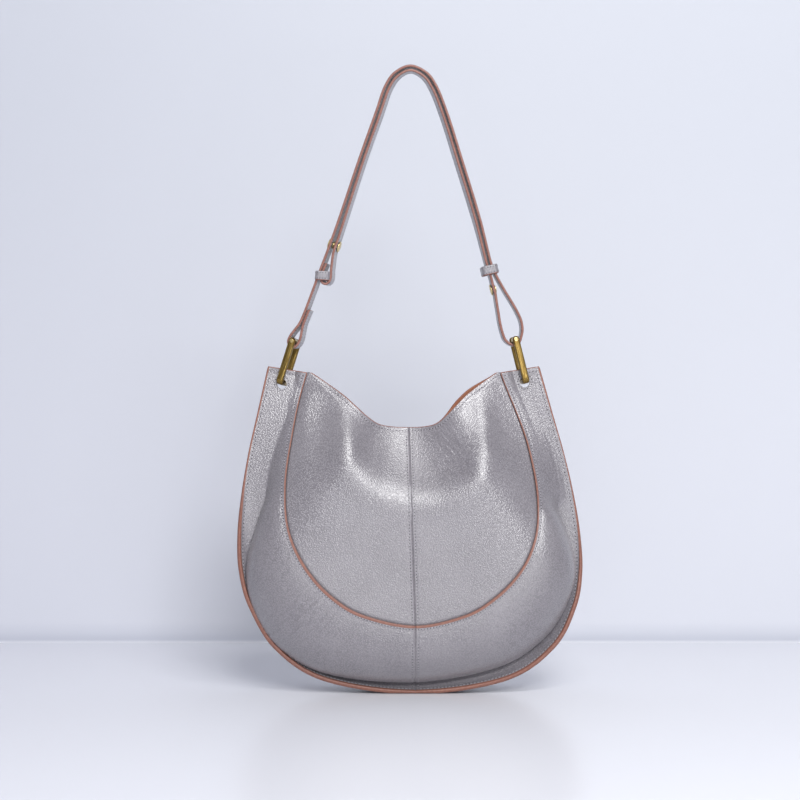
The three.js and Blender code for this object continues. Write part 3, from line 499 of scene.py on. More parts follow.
def cylinder_cut(piece, radius, at):
    """Cuts a round hole through a piece, front to back."""
    bpy.ops.object.select_all(action="DESELECT")
    bpy.ops.mesh.primitive_cylinder_add(vertices=32, radius=radius * MM, depth=0.06,
                                        location=((at[0] + SHIFT_X) * MM, SHIFT_Y * MM, at[1] * MM),
                                        rotation=(math.pi / 2, 0, 0))
    cutter = bpy.context.object
    cut = piece.modifiers.new("hole", "BOOLEAN")
    cut.object = cutter
    cut.operation = "DIFFERENCE"
    cut.solver = "EXACT"
    bpy.context.view_layer.objects.active = piece
    bpy.ops.object.modifier_apply(modifier="hole")
    bpy.data.objects.remove(cutter)


# The rings pull the tabs up, so each hole stands a little lower than the bar in it.
RIGHT_EYELET = (106.9, 292.8)
HOLES = {"left": (EYELET[0], EYELET[1] - 1.2), "right": (RIGHT_EYELET[0], RIGHT_EYELET[1] - 0.9)}
HOLE_R = 4.6
for word in ("front", "back"):
    for side in ("left", "right"):
        cylinder_cut(panels[f"{word}_side_{side}"][0], HOLE_R, HOLES[side])

# ---- Painted rim ----
# Front and back leathers are glued and sewn together round the rim and the tabs, ground flush,
# and painted as one tan edge, which stands a little proud of the leather.
RIM_SIDES = 18
path = []
for side, top, below in (("left", 0, 1), ("right", -1, -2)):
    front, back = panels[f"front_side_{side}"][1], panels[f"back_side_{side}"][1]
    tab = [(front[top, j], back[top, j], front[top, j] - front[below, j])
           for j in range(4, front.shape[1] - 1)]
    rim = [(front[i, -1], back[i, -1], (front[i, -1] - front[i, -2]) + (back[i, -1] - back[i, -2]))
           for i in range(front.shape[0])]
    path += tab + rim if side == "left" else rim[1:] + tab[::-1]
points = []
for k, (near, far, out) in enumerate(path):
    step = unit(path[min(k + 1, len(path) - 1)][0] - path[max(k - 1, 0)][0])
    out = unit(out - step * np.dot(out, step))
    half = (near - far) / 2
    middle = (near + far) / 2 + out * 0.1
    # The bead stands further out low down than at the tabs.
    bulge = float(mix(1.3, 0.6, smooth(middle[2], 150, 250)))
    for s in range(RIM_SIDES):
        angle = 2 * math.pi * s / RIM_SIDES
        points.append(middle + half * 1.03 * math.cos(angle) + out * (bulge * math.sin(angle)))
points = np.array(points)
points[:, 2] = np.maximum(points[:, 2], 0)
n, last = RIM_SIDES, (len(path) - 1) * RIM_SIDES
faces = [(k + s, k + (s + 1) % n, k + n + (s + 1) % n, k + n + s)
         for k in range(0, last, n) for s in range(n)]
faces += [tuple(range(n))[::-1], tuple(range(last, last + n))]
rim_paint = mesh_from("rim_edge_paint", points, faces, [PAINT])
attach(rim_paint, "bag")

# ---- Stitching ----
# Every seam is lockstitched in grey bonded thread, three to four stitches a centimetre.
# Each stitch arches from one needle hole to the next, and a small dark dot of painted shade stands at each
# hole.
# Twisted thread with a bonded coat gives each stitch a pale, slightly rough glint.
THREAD, tree, shader, where = material("bonded_polyester_thread", Base_Color=linear("#aeabb2"), Roughness=0.5)
twist = node(tree, "ShaderNodeTexNoise", None, {"Vector": where}, Scale=3 / MM, Detail=1.0)
twist_bump = node(tree, "ShaderNodeBump", None, {"Height": twist}, Distance=0.06 * MM, Strength=0.8)
feed(tree, shader, {"Normal": twist_bump})
# A dull, dark dot at each pricked hole is painted shade for the hole.
NEEDLE_HOLE_SHADE = material("needle_hole_painted_shade", Base_Color=linear("#3a383d"), Roughness=0.9)[0]


def stitch_places(points, normals, pitch):
    """Middles, directions and normals of stitches laid along a dense line of points."""
    points, normals = np.asarray(points), np.asarray(normals)
    steps = np.linalg.norm(np.diff(points, axis=0), axis=1)
    length = np.concatenate([[0], np.cumsum(steps)])
    count = max(int(round(length[-1] / pitch)), 1)
    ends = np.linspace(0, length[-1], count + 1)
    at = np.stack([np.interp(ends, length, points[:, c]) for c in range(3)], -1)
    n = np.stack([np.interp((ends[1:] + ends[:-1]) / 2, length, normals[:, c]) for c in range(3)], -1)
    ahead = at[1:] - at[:-1]
    n -= ahead * (np.sum(n * ahead, -1) / np.sum(ahead * ahead, -1))[:, None]
    return (at[1:] + at[:-1]) / 2, ahead, unit(n)


def stitching(name, rows, thread_r=0.32, share=0.66):
    """One object of all the stitches in rows of (middles, directions, normals), and the dots of painted shade
    at their needle holes.
    """
    points, faces, groups, base = [], [], [], 0
    # Along the stitch: place, thickness and lift, as shares of its half length and its radius.
    rounds = [(-1.0, 0.25, -0.25), (-0.75, 0.8, 0.0), (0.0, 1.0, 0.18), (0.75, 0.8, 0.0), (1.0, 0.25, -0.25)]
    sides = 6
    for middles, ahead, up in rows:
        across = unit(np.cross(up, ahead))
        for mid, go, n, side in zip(middles, ahead * share / 2, up, across):
            for t, r, lift in rounds:
                for s in range(sides):
                    angle = 2 * math.pi * s / sides
                    points.append(mid + go * t + side * (thread_r * r * math.cos(angle))
                                  + n * (thread_r * r * math.sin(angle) + lift * thread_r * 2))
            for k in range(len(rounds) - 1):
                for s in range(sides):
                    p, q = base + k * sides + s, base + k * sides + (s + 1) % sides
                    faces.append((p, q, q + sides, p + sides))
                    groups.append(0)
            faces.append(tuple(base + s for s in reversed(range(sides))))
            faces.append(tuple(base + 4 * sides + s for s in range(sides)))
            groups += [0, 0]
            base += 5 * sides
            # A dark dot of painted shade marks the needle hole at the stitch's end.
            hole = mid + go / share
            step = unit(go)
            for s in range(sides):
                angle = 2 * math.pi * s / sides
                points.append(hole + step * (0.55 * math.cos(angle)) + side * (0.5 * math.sin(angle))
                              + n * 0.03)
            points += [hole + n * 0.12, hole - n * 0.3]
            for s in range(sides):
                faces.append((base + s, base + (s + 1) % sides, base + sides))
                faces.append((base + (s + 1) % sides, base + s, base + sides + 1))
                groups += [1, 1]
            base += sides + 2
    return mesh_from(name, points, faces, (THREAD, NEEDLE_HOLE_SHADE), groups)


def row_at(grid, normal, axis, end, distance):
    """The line on a grid of points at a distance along the surface from one of its edges."""
    far = from_edge(grid, axis, end)
    if axis == 0:
        grid, normal, far = grid.transpose(1, 0, 2), normal.transpose(1, 0, 2), far.T
    if end != 0:
        grid, normal, far = grid[:, ::-1], normal[:, ::-1], far[:, ::-1]
    return [np.array([[np.interp(distance, far[i], of[i, :, c]) for c in range(3)] for i in range(len(grid))])
            for of in (grid, normal)]


# In millimetres: the rows' distances from their edges, the stitches' lengths and the eyelet's ring.
NEAR_ROW, EDGE_ROW, BIB_ROW = 2.7, 3.4, 3.0
SEAM_PITCH, EDGE_PITCH, RING_PITCH = 2.85, 3.4, 2.6
EYELET_RING, RING_UP = 6.8, 0.6
for word in ("front", "back"):
    rows = []
    for side in ("left", "right"):
        grid, normal = panels[f"{word}_side_{side}"][1:]
        tab_end, middle_end = (0, 1) if side == "left" else (1, 0)
        edge_cut = slice(6, None) if side == "left" else slice(None, -6)
        for axis, end, far, pitch, cut in (
                (1, 0, NEAR_ROW, SEAM_PITCH, slice(None)), (1, 1, EDGE_ROW, EDGE_PITCH, edge_cut),
                (0, middle_end, NEAR_ROW, SEAM_PITCH, slice(8, -9)),
                (0, tab_end, EDGE_ROW, EDGE_PITCH, slice(8, -7))):
            p, n = row_at(grid, normal, axis, end, far)
            rows.append(stitch_places(p[cut], n[cut], pitch))
        flat = grid.reshape(-1, 3)
        spots = []
        for k in range(25):
            angle = 2 * math.pi * k / 24
            x = HOLES[side][0] + EYELET_RING * math.cos(angle)
            z = HOLES[side][1] + RING_UP + EYELET_RING * math.sin(angle)
            near = np.argmin((flat[:, 0] - x) ** 2 + (flat[:, 2] - z) ** 2)
            spots.append((x, flat[near, 1], z))
        facing = np.tile([0, -1.0 if word == "front" else 1.0, 0], (25, 1))
        rows.append(stitch_places(spots, facing, RING_PITCH))
        grid, normal = panels[f"{word}_bib_{side}_leather"][1:]
        for axis, end, far, cut in ((1, 0, BIB_ROW, slice(2, -2)), (0, middle_end, NEAR_ROW, slice(6, -8))):
            p, n = row_at(grid, normal, axis, end, far)
            rows.append(stitch_places(p[cut], n[cut], SEAM_PITCH))
    piece = stitching(f"{word}_stitching", rows)
    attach(piece, "bag")

# ---- Tab stiffeners ----
# A card of salpa, bonded leather fibre, is glued between the two leathers of each tab, round the
# eyelet. Its hole is punched wider than the eyelet, so that no fibre shows in it.
# Pressed leather dust gives a dull, mottled brown.
SALPA, tree, shader, where = material("bonded_leather_fibre", Roughness=0.9)
fibre = node(tree, "ShaderNodeTexNoise", None, {"Vector": where}, Scale=1.5 / MM, Detail=4.0)
mottle = node(tree, "ShaderNodeMix", COLOUR, {"Factor": fibre}, A=linear("#7b6149"), B=linear("#a2866a"))
feed(tree, shader, {"Base Color": mottle})
CARD, CARD_HOLE_R = 1.2, 6.2
# Its corners in the crescent's own directions: along the bag, and from the seam to the rim.
CORE = [(0.995, 0.68), (0.995, 0.94), (0.97, 0.94), (0.91, 0.9), (0.93, 0.7)]
for side, sign in (("left", -1), ("right", 1)):
    points = []
    for face, inward in ((FRONT, TAB_FACE - CARD / 2), (BACK, CARD / 2 - TAB_FACE)):
        for a, b in CORE:
            x, y, z = side_surface(np.array([sign * a]), np.array([b]), face)[0, 0]
            points.append((x, y + inward, z))
    n = len(CORE)
    faces = [tuple(range(n)), tuple(range(2 * n - 1, n - 1, -1))]
    faces += [(k, k + n, (k + 1) % n + n, (k + 1) % n) for k in range(n)]
    if sign > 0:
        faces = [f[::-1] for f in faces]
    card = mesh_from(f"{side}_tab_card", points, faces, [SALPA], smooth_shade=False)
    cylinder_cut(card, CARD_HOLE_R, HOLES[side])
    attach(card, "bag")
    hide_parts(f"tab_stiffener_{side}")

# ---- Lining and slip pocket ----
# The body is lined with tan microsuede, cut a little smaller than the leather and hung from the mouth.
# An open pocket of the same cloth is sewn to the back lining.
# The nap is stroked light and dark in patches 15 to 20 mm wide, over fibres of half a millimetre.
SUEDE, tree, shader, where = material("tan_microsuede", Roughness=0.95, Sheen_Weight=0.3)
nap = node(tree, "ShaderNodeTexNoise", None, {"Vector": where}, Scale=1.8 / MM, Detail=3.0)
stroke = node(tree, "ShaderNodeTexNoise", None, {"Vector": where}, Scale=0.06 / MM, Detail=2.0)
stroked = node(tree, "ShaderNodeMapRange", STEP, {"Value": stroke},
               From_Min=0.35, From_Max=0.65, To_Min=0.2, To_Max=0.8)
nap_tone = node(tree, "ShaderNodeMix", COLOUR, {"Factor": stroked},
                A=linear("#a3674c"), B=linear("#b67a5c"))
nap_bump = node(tree, "ShaderNodeBump", None, {"Height": nap}, Distance=0.12 * MM, Strength=0.6)
feed(tree, shader, {"Base Color": nap_tone, "Normal": nap_bump})
# LEAST keeps the two linings apart where the bag is thin.
LINING, LINING_INSET, LEAST = 0.8, 3.4, 0.95


def lining_surface(a, b, face):
    """A lining's outer face: b from 0 at the mouth to 1 at the seam and 2 in the bottom of the bag."""
    sign = -1 if face == FRONT else 1
    b = np.asarray(b)
    upper = bib_surface(a, mix(0.004, 1, b[b <= 1]), face)
    slack = mix(2.0, LINING_INSET, b[b <= 1]) + 3.5 * np.sin(np.pi * b[b <= 1]) ** 2
    upper[..., 1] = sign * np.maximum(np.abs(upper[..., 1]) - slack, LEAST)
    low = side_surface(a, (b[b > 1] - 1) * 4.3 / PROFILE_STEPS, face)
    seam, rim = outline(SEAM, a), outline(RIM, a)
    width = np.linalg.norm(rim - seam, axis=-1)
    belly = along(BELLY_LEFT[face], a, 1, BELLY_RIGHT[face]) * width
    shrink = 1 - 5 / np.minimum(belly, width)
    for c, k in ((0, 0), (2, 1)):
        low[..., c] = mix(seam[:, k][:, None], low[..., c], shrink[:, None])
    low[..., 1] = sign * np.maximum(np.abs(low[..., 1]) - LINING_INSET, LEAST)
    low[..., 2] = np.maximum(low[..., 2], LEATHER + LINING_INSET)
    return np.concatenate([upper, low], axis=1)


for face, word in ((FRONT, "front"), (BACK, "back")):
    a = np.linspace(-0.87, 0.87, 160)
    outer = lining_surface(a, np.linspace(0, 2, 90), face)
    n = normals_of(outer, face)
    cloth = sheet(f"{word}_lining_cloth", outer, n, LINING, face, [SUEDE])
    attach(cloth, "bag")
    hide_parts(f"lining_{word}")

a = np.linspace(-0.42, 0.42, 50)
outer = lining_surface(a, np.linspace(0.3, 0.8, 40), BACK)
outer[..., 1] -= 3
pocket = sheet("slip_pocket", outer, normals_of(outer, BACK), LINING, BACK, [SUEDE])
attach(pocket, "bag")
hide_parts("inside_pocket")

# ---- Shackles ----
# Each oblong shackle is one bent bar of gold-plated zinc with chamfered edges and rounded ends, standing
# in its eyelet. A crossbar is screwed between its open ends and carries the strap.
# Zinc, polished and plated gold, is then brushed along its length, which leaves fine lengthwise
# scratches, lighter and darker, that spread the shine along the bar.
def brushed_gold(name, light, dark, rough_low, rough_high):
    """Plating whose scratches are 0.4 mm apart and 11 mm long, in the directions the piece was made in."""
    m, tree, shader, _ = material(name, Metallic=1.0)
    own = node(tree, "ShaderNodeAttribute", {"attribute_name": "grain"}).outputs["Vector"]
    scale = node(tree, "ShaderNodeVectorMath", {"operation": "MULTIPLY"}, {0: own})
    scale.inputs[1].default_value = (2.6 / MM, 2.6 / MM, 0.09 / MM)
    lines = node(tree, "ShaderNodeTexNoise", None, {"Vector": scale}, Scale=1.0, Detail=3.0)
    cloud = node(tree, "ShaderNodeTexNoise", None, {"Vector": scale}, Scale=0.35, Detail=2.0)
    bright = node(tree, "ShaderNodeMapRange", STEP, {"Value": lines}, From_Min=0.35, From_Max=0.65)
    tone = node(tree, "ShaderNodeMix", COLOUR, {"Factor": bright}, A=linear(dark), B=linear(light))
    gloss = node(tree, "ShaderNodeMapRange", STEP, {"Value": cloud},
                 From_Min=0.3, From_Max=0.7, To_Min=rough_low, To_Max=rough_high)
    bump = node(tree, "ShaderNodeBump", None, {"Height": lines}, Distance=0.05 * MM, Strength=0.8)
    feed(tree, shader, {"Base Color": tone, "Roughness": gloss, "Normal": bump})
    return m


GOLD = brushed_gold("brushed_gold_plating", "#a98f54", "#755d2c", 0.3, 0.42)
POLISHED = brushed_gold("polished_gold_plating", "#e3cf98", "#c8af76", 0.26, 0.36)


def place(piece, name, turns, at, metal):
    """Applies a finished piece's turns and place to its mesh, and keeps its own directions for the grain."""
    piece.data.materials.append(metal)
    mesh = piece.data
    grain = mesh.attributes.new("grain", "FLOAT_VECTOR", "POINT")
    own = np.empty(len(mesh.vertices) * 3)
    mesh.vertices.foreach_get("co", own)
    grain.data.foreach_set("vector", own)
    mesh.transform(turns)
    mesh.transform(Matrix.Translation(((at[0] + SHIFT_X) * MM, SHIFT_Y * MM, at[1] * MM)))
    piece.name = name
    mesh.name = name
    return piece


def joined(parts):
    """Joins parts, each made at the origin with its place in its object, into the first."""
    bpy.ops.object.select_all(action="DESELECT")
    for part in parts:
        part.select_set(True)
    bpy.context.view_layer.objects.active = parts[0]
    bpy.ops.object.join()
    piece = bpy.context.object
    bpy.ops.object.transform_apply(location=True, rotation=True, scale=True)
    return piece


def rod(radius, length, at, axis="Y", edge=0.3, sides=48):
    """A cylinder with bevelled ends, its length along an axis, in millimetres."""
    bpy.ops.object.select_all(action="DESELECT")
    turn = {"X": (0, math.pi / 2, 0), "Y": (math.pi / 2, 0, 0), "Z": (0, 0, 0)}[axis]
    bpy.ops.mesh.primitive_cylinder_add(vertices=sides, radius=radius * MM, depth=length * MM, rotation=turn,
                                        location=[c * MM for c in at])
    piece = bpy.context.object
    bevel = piece.modifiers.new("edge", "BEVEL")
    bevel.width = edge * MM
    bevel.segments = 4
    bevel.limit_method = "ANGLE"
    bevel.angle_limit = math.radians(50)
    bpy.ops.object.modifier_apply(modifier="edge")
    bpy.ops.object.shade_smooth_by_angle(angle=math.radians(35))
    return piece


# The crossbar's height, the room between the sides, the bar's width and depth, and its bend's radius.
RING_BAR, RING_INSIDE, RING_WIDE, RING_DEEP, RING_BEND = 40.7, 17.5, 6.4, 4.2, 4.0
HALF = (RING_INSIDE + RING_DEEP) / 2
RING_TOP = RING_BAR + RING_WIDE / 2
BAR_R, HEAD_R, HEAD_TALL = 2.3, 1.95, 0.9
# Where each ring stands, how far it leans to the right and how far it is turned about Z, in degrees.
RINGS = {"left": (EYELET, 17.45, 12), "right": (RIGHT_EYELET, -13.93, -5)}
for side, (foot, lean, yaw) in RINGS.items():
    turns = Matrix.Rotation(math.radians(lean), 4, "Y") @ Matrix.Rotation(math.radians(-yaw), 4, "Z")
    bpy.ops.object.select_all(action="DESELECT")
    bpy.ops.mesh.primitive_plane_add(size=1, location=(0, 0, 0))
    piece = bpy.context.object
    bpy.ops.object.mode_set(mode="EDIT")
    bpy.ops.transform.resize(value=(RING_WIDE * MM, RING_DEEP * MM, 1))
    bpy.ops.transform.translate(value=(0, -HALF * MM, RING_TOP * MM))
    straight, bottom = (RING_TOP - RING_BEND) * MM, 2 * (HALF - RING_BEND) * MM
    for move, bend_at in (((0, 0, -straight), RING_BEND - HALF), ((0, bottom, 0), HALF - RING_BEND)):
        bpy.ops.mesh.extrude_region_move(TRANSFORM_OT_translate={"value": move})
        bpy.ops.mesh.spin(steps=8, angle=-math.pi / 2, axis=(1, 0, 0),
                          center=(0, bend_at * MM, RING_BEND * MM))
    bpy.ops.mesh.extrude_region_move(TRANSFORM_OT_translate={"value": (0, 0, straight)})
    bpy.ops.mesh.select_all(action="SELECT")
    bpy.ops.mesh.remove_doubles(threshold=1e-6)
    bpy.ops.mesh.normals_make_consistent(inside=False)
    bpy.ops.mesh.select_all(action="DESELECT")
    bpy.ops.object.mode_set(mode="OBJECT")
    high = RING_TOP * MM - 1e-5
    for edge in piece.data.edges:
        ends = [piece.data.vertices[v].co for v in edge.vertices]
        edge.select = min(e.z for e in ends) > high and abs(ends[0].x - ends[1].x) < 1e-5
    bpy.ops.object.mode_set(mode="EDIT")
    bpy.ops.mesh.select_mode(type="EDGE")
    bpy.ops.mesh.bevel(offset=RING_WIDE / 2 * 0.97 * MM, segments=8, affect="EDGES")
    bpy.ops.object.mode_set(mode="OBJECT")
    for width, segments in ((1.05, 1), (0.22, 2)):
        bevel = piece.modifiers.new("edge", "BEVEL")
        bevel.width = width * MM
        bevel.segments = segments
        bevel.use_clamp_overlap = False
        bevel.limit_method = "ANGLE"
        bevel.angle_limit = math.radians(40 if segments == 1 else 30)
        bpy.ops.object.modifier_apply(modifier="edge")
    bpy.ops.object.shade_smooth_by_angle(angle=math.radians(30))
    piece = place(piece, f"{side}_ring_body", turns, foot, GOLD)
    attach(piece, f"{side}_ring")
    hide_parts(f"{side}_shackle")

    parts = [rod(BAR_R, RING_INSIDE - 0.6, (0, 0, RING_BAR), "Y", 0.2)]
    for sign in (-1, 1):
        head = rod(HEAD_R, HEAD_TALL, (0, sign * (HALF + RING_DEEP / 2 - 0.1), RING_BAR), "Y", 0.22)
        slot_y = sign * (HALF + RING_DEEP / 2 + 0.4)
        bpy.ops.mesh.primitive_cube_add(size=1, location=(0, slot_y * MM, RING_BAR * MM),
                                        rotation=(0, math.radians(35 + 20 * sign), 0))
        slot_cutter = bpy.context.object
        slot_cutter.scale = (5 * MM, 0.7 * MM, 0.5 * MM)
        cut = head.modifiers.new("slot", "BOOLEAN")
        cut.object, cut.operation, cut.solver = slot_cutter, "DIFFERENCE", "EXACT"
        bpy.context.view_layer.objects.active = head
        bpy.ops.object.modifier_apply(modifier="slot")
        bpy.data.objects.remove(slot_cutter)
        parts.append(head)
    bar = place(joined(parts), f"{side}_ring_screwed_bar", turns, foot, POLISHED)
    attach(bar, f"{side}_ring")
    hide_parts(f"{side}_crossbar")

# ---- Shoulder strap ----
# One long strap of two leathers glued back to back, stitched along both sides, its edges painted tan.
# It runs from a sewn loop on the left bar over the shoulder, round the right bar and back beside itself.
STRAP_CALF = grained_leather("strap_calf_leather", "#95919a", "#7e7b81", "#9b979e", 1.2, 0.16)
# Painted shade: an occlusion test darkens the strap's leather where other surfaces stand close, most of all
# in the narrow gap between its two runs, which reads as a dark line.
tree = STRAP_CALF.node_tree
shader = tree.nodes["Principled BSDF"]
grain_tone = shader.inputs["Base Color"].links[0].from_socket
open_air = node(tree, "ShaderNodeAmbientOcclusion", {"samples": 6}, {"Color": grain_tone}, Distance=6 * MM)
unshaded_share = node(tree, "ShaderNodeMapRange", STEP, {"Value": open_air.outputs["AO"]},
                  From_Min=0.15, From_Max=0.6)
painted_gap_shade = node(tree, "ShaderNodeMix", COLOUR, {"Factor": unshaded_share, "B": grain_tone},
                A=linear("#2e2322"))
feed(tree, shader, {"Base Color": painted_gap_shade})
STRAP_PAINT = painted_edge("rosy_tan_edge_paint", "#9a6c60", "#83594f")
STRAP_WIDE, STRAP_THICK, STRAP_PITCH = 15.5, 2.4, 4.1
# The strap's middle line in x and z: the run over the shoulder, the loops and the turned-back end.
OUTER_RUN = [(-101.3, 355.8), (-92.7, 378.6), (-87.4, 393.4), (-71.7, 435.6), (-48.5, 504), (-32.6, 548.6),
             (-24.2, 572.4), (-15.7, 584.7), (-1.4, 591.5), (13.3, 584.7), (21.9, 572.4), (31.5, 548.6),
             (45.7, 504), (63.7, 445.1), (74.9, 402.8)]
LEFT_LOOP = [(-96.1, 360.3), (-98.9, 353.8), (-101.7, 346.4), (-103.1, 340), (-104.3, 333.8), (-106.6, 328.4),
             (-110.2, 325.3), (-114.1, 326.3), (-115.8, 330.4), (-114, 335.6), (-109.6, 341.6),
             (-105.3, 347.4)]
RIGHT_LOOP = [(78.9, 393.7), (83.2, 385.6), (88.4, 376.7), (94, 367.6), (98.9, 359), (102.6, 350.6),
              (104, 342.2), (102.9, 335.4), (100.8, 329.8), (96.4, 327.4), (91.7, 328.7), (87.6, 332.5),
              (85.4, 338), (83, 347.1), (81.2, 358), (79.7, 367), (78.5, 375), (76.3, 383), (74.3, 391.3)]
TAIL = [(-68.3, 429.5), (-70.9, 422), (-73.3, 414.5), (-74.6, 405), (-75.4, 398), (-75.8, 391),
        (-77.2, 387.3), (-80.2, 385.2), (-83.4, 386.2), (-84.7, 389.4), (-84.2, 392),
        (-82.9, 397.5), (-80, 404.5)]


def strap_yaw(x, z):
    """How far the strap is turned about Z: it leans outwards at the left, and less at the right."""
    left = mix(12, 10, smooth(z, 340, 450))
    right = -mix(4, 9, smooth(z, 390, 470))
    return np.radians(mix(left, right, smooth(x, -25, 25)))


def inner_run():
    """The run back beside the outer one, from the right loop to the turned-back end."""
    points = []
    for i in range(len(OUTER_RUN) - 1, 3, -1):
        (x0, z0), (x1, z1) = OUTER_RUN[i - 1], OUTER_RUN[min(i + 1, len(OUTER_RUN) - 1)]
        long = math.hypot(x1 - x0, z1 - z0)
        x, z = OUTER_RUN[i]
        points.append((x + (z1 - z0) / long * STRAP_PITCH, z - (x1 - x0) / long * STRAP_PITCH))
    return points


def centripetal(points, steps):
    """A centripetal Catmull-Rom curve through points, with `steps` samples between each two."""
    p = np.asarray(points, float)
    p = np.concatenate([[2 * p[0] - p[1]], p, [2 * p[-1] - p[-2]]])
    out = []
    for i in range(1, len(p) - 2):
        d = [max(np.linalg.norm(p[i + k] - p[i + k - 1]) ** 0.5, 1e-6) for k in (0, 1, 2)]
        before, here, after = p[i] - p[i - 1], p[i + 1] - p[i], p[i + 2] - p[i + 1]
        m1 = (before / d[0] - (before + here) / (d[0] + d[1]) + here / d[1]) * d[1]
        m2 = (here / d[1] - (here + after) / (d[1] + d[2]) + after / d[2]) * d[1]
        for t in np.arange(steps) / steps:
            out.append(p[i] * (2 * t**3 - 3 * t**2 + 1) + m1 * (t**3 - 2 * t**2 + t)
                       + p[i + 1] * (3 * t**2 - 2 * t**3) + m2 * (t**3 - t**2))
    return np.array(out + [p[-2]])


def rounded_section(half_thick, half_wide, radius, steps=5):
    """A closed section of (across, wide) points, and which of its sides are on the narrow edges."""
    points, edge = [], []
    for cx, cy, start in ((1, 1, 0), (-1, 1, 90), (-1, -1, 180), (1, -1, 270)):
        for s in range(steps + 1):
            angle = math.radians(start + 90 * s / steps)
            points.append((cx * (half_thick - radius) + radius * math.cos(angle),
                           cy * (half_wide - radius) + radius * math.sin(angle)))
    for k in range(len(points)):
        q = points[(k + 1) % len(points)]
        edge.append((abs(points[k][1]) + abs(q[1])) / 2 > half_wide - radius * 0.97)
    return points, edge


STRAP_RUN = centripetal(LEFT_LOOP + OUTER_RUN + RIGHT_LOOP + inner_run() + TAIL, 12)
yaw = strap_yaw(STRAP_RUN[:, 0], STRAP_RUN[:, 1])
middle = np.stack([STRAP_RUN[:, 0], 0 * yaw, STRAP_RUN[:, 1]], -1)
wide = np.stack([np.sin(yaw), np.cos(yaw), 0 * yaw], -1)
ahead = unit(np.gradient(middle, axis=0))
across = unit(np.cross(wide, ahead))
section, edges = rounded_section(STRAP_THICK / 2, STRAP_WIDE / 2, 1.1)
n = len(section)
points = np.array([m + x * u + y * v for m, x, y in zip(middle, across, wide) for u, v in section])
faces, groups = [], []
for i in range(len(middle) - 1):
    for k in range(n):
        p, q = i * n + k, i * n + (k + 1) % n
        faces.append((p, q, q + n, p + n))
        groups.append(1 if edges[k] else 0)
faces += [tuple(reversed(range(n))), tuple((len(middle) - 1) * n + k for k in range(n))]
groups += [1, 1]
strap = mesh_from("strap_leather", points, faces, (STRAP_CALF, STRAP_PAINT), groups)
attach(strap, "strap")
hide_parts("shoulder_strap")

rows = []
for sign in (-1, 1):
    for edge in (-1, 1):
        line = middle + across * (sign * STRAP_THICK / 2) + wide * (edge * (STRAP_WIDE / 2 - 2.4))
        rows.append(stitch_places(line[4:-4], across[4:-4] * sign, 3.0))
piece = stitching("strap_stitching", rows, 0.24)
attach(piece, "strap")

# ---- Keepers ----
# Two closed bands of strap leather, each with two rows of stitches; the cut lower edge is left tan.
# The left one holds the strap's turned-back end, the right one slides over both runs.
# Where each band stands, its lean, the room inside it and its turn about Z, in millimetres and degrees.
KEEPERS = {"left": ((-84.9, 392.9), 4, 10.6, -2), "right": ((73.4, 398.4), -13, 12.3, -3)}
# The band's thickness and height, the strap's play in it, and its stitches' distance from its edges.
BAND, TALL, CLEAR, KEEPER_ROW = 1.7, 8.6, 0.9, 1.7


def on_strap(point, tilt, yaw=None):
    """The turn that takes Z along the strap, X across it and Y over its width."""
    up = Vector((math.sin(math.radians(tilt)), 0, math.cos(math.radians(tilt))))
    yaw = float(strap_yaw(*point)) if yaw is None else math.radians(yaw)
    over = Vector((math.sin(yaw), math.cos(yaw), 0))
    over = (over - up * over.dot(up)).normalized()
    out = over.cross(up)
    return Matrix((out, over, up)).transposed().to_4x4()


for side, (at, tilt, inside, yaw) in KEEPERS.items():
    half_x, half_y = inside / 2 + BAND / 2, STRAP_WIDE / 2 + CLEAR + BAND / 2
    loop, _ = rounded_section(half_x, half_y, 2.4, 8)
    loop = np.array(loop)
    ahead = unit(np.roll(loop, -1, 0) - np.roll(loop, 1, 0))
    out = np.stack([ahead[:, 1], -ahead[:, 0]], -1)
    band, edges = rounded_section(BAND / 2, TALL / 2, 0.7, 4)
    n = len(band)
    points = [(p[0] + o[0] * u, p[1] + o[1] * u, v) for p, o in zip(loop, out) for u, v in band]
    faces, groups = [], []
    for i in range(len(loop)):
        for k in range(n):
            p, q = i * n + k, i * n + (k + 1) % n
            r, s = (i + 1) % len(loop) * n + (k + 1) % n, (i + 1) % len(loop) * n + k
            faces.append((p, s, r, q))
            groups.append(1 if edges[k] and band[k][1] < 0 else 0)
    turn = on_strap(at, tilt, yaw)
    turned = np.array([tuple(turn @ Vector(p)) for p in points]) + (at[0], 0, at[1])
    keeper = mesh_from(f"{side}_keeper_band", turned, faces, (CALF, STRAP_PAINT), groups)
    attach(keeper, f"{side}_keeper")
    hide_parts(f"{side}_keeper")
    rows = []
    for v in (-TALL / 2 + KEEPER_ROW, TALL / 2 - KEEPER_ROW):
        line = np.array([tuple(turn @ Vector((p[0] + o[0] * BAND / 2, p[1] + o[1] * BAND / 2, v)))
                         for p, o in zip(loop, out)]) + (at[0], 0, at[1])
        facing = np.array([tuple(turn @ Vector((o[0], o[1], 0))) for o in out])
        closed = [np.concatenate([of, of[:1]]) for of in (line, facing)]
        rows.append(stitch_places(*closed, RING_PITCH))
    piece = stitching(f"{side}_keeper_stitching", rows, 0.3)
    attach(piece, f"{side}_keeper")

# ---- Snaps ----
# Polished press snaps fix the strap's turned-back end; each has a domed cap, a neck and a stud.
CAP_R, CAP_TALL, NECK_R, STUD_R, STUD_TALL = 5.2, 1.3, 1.6, 3.6, 1.1
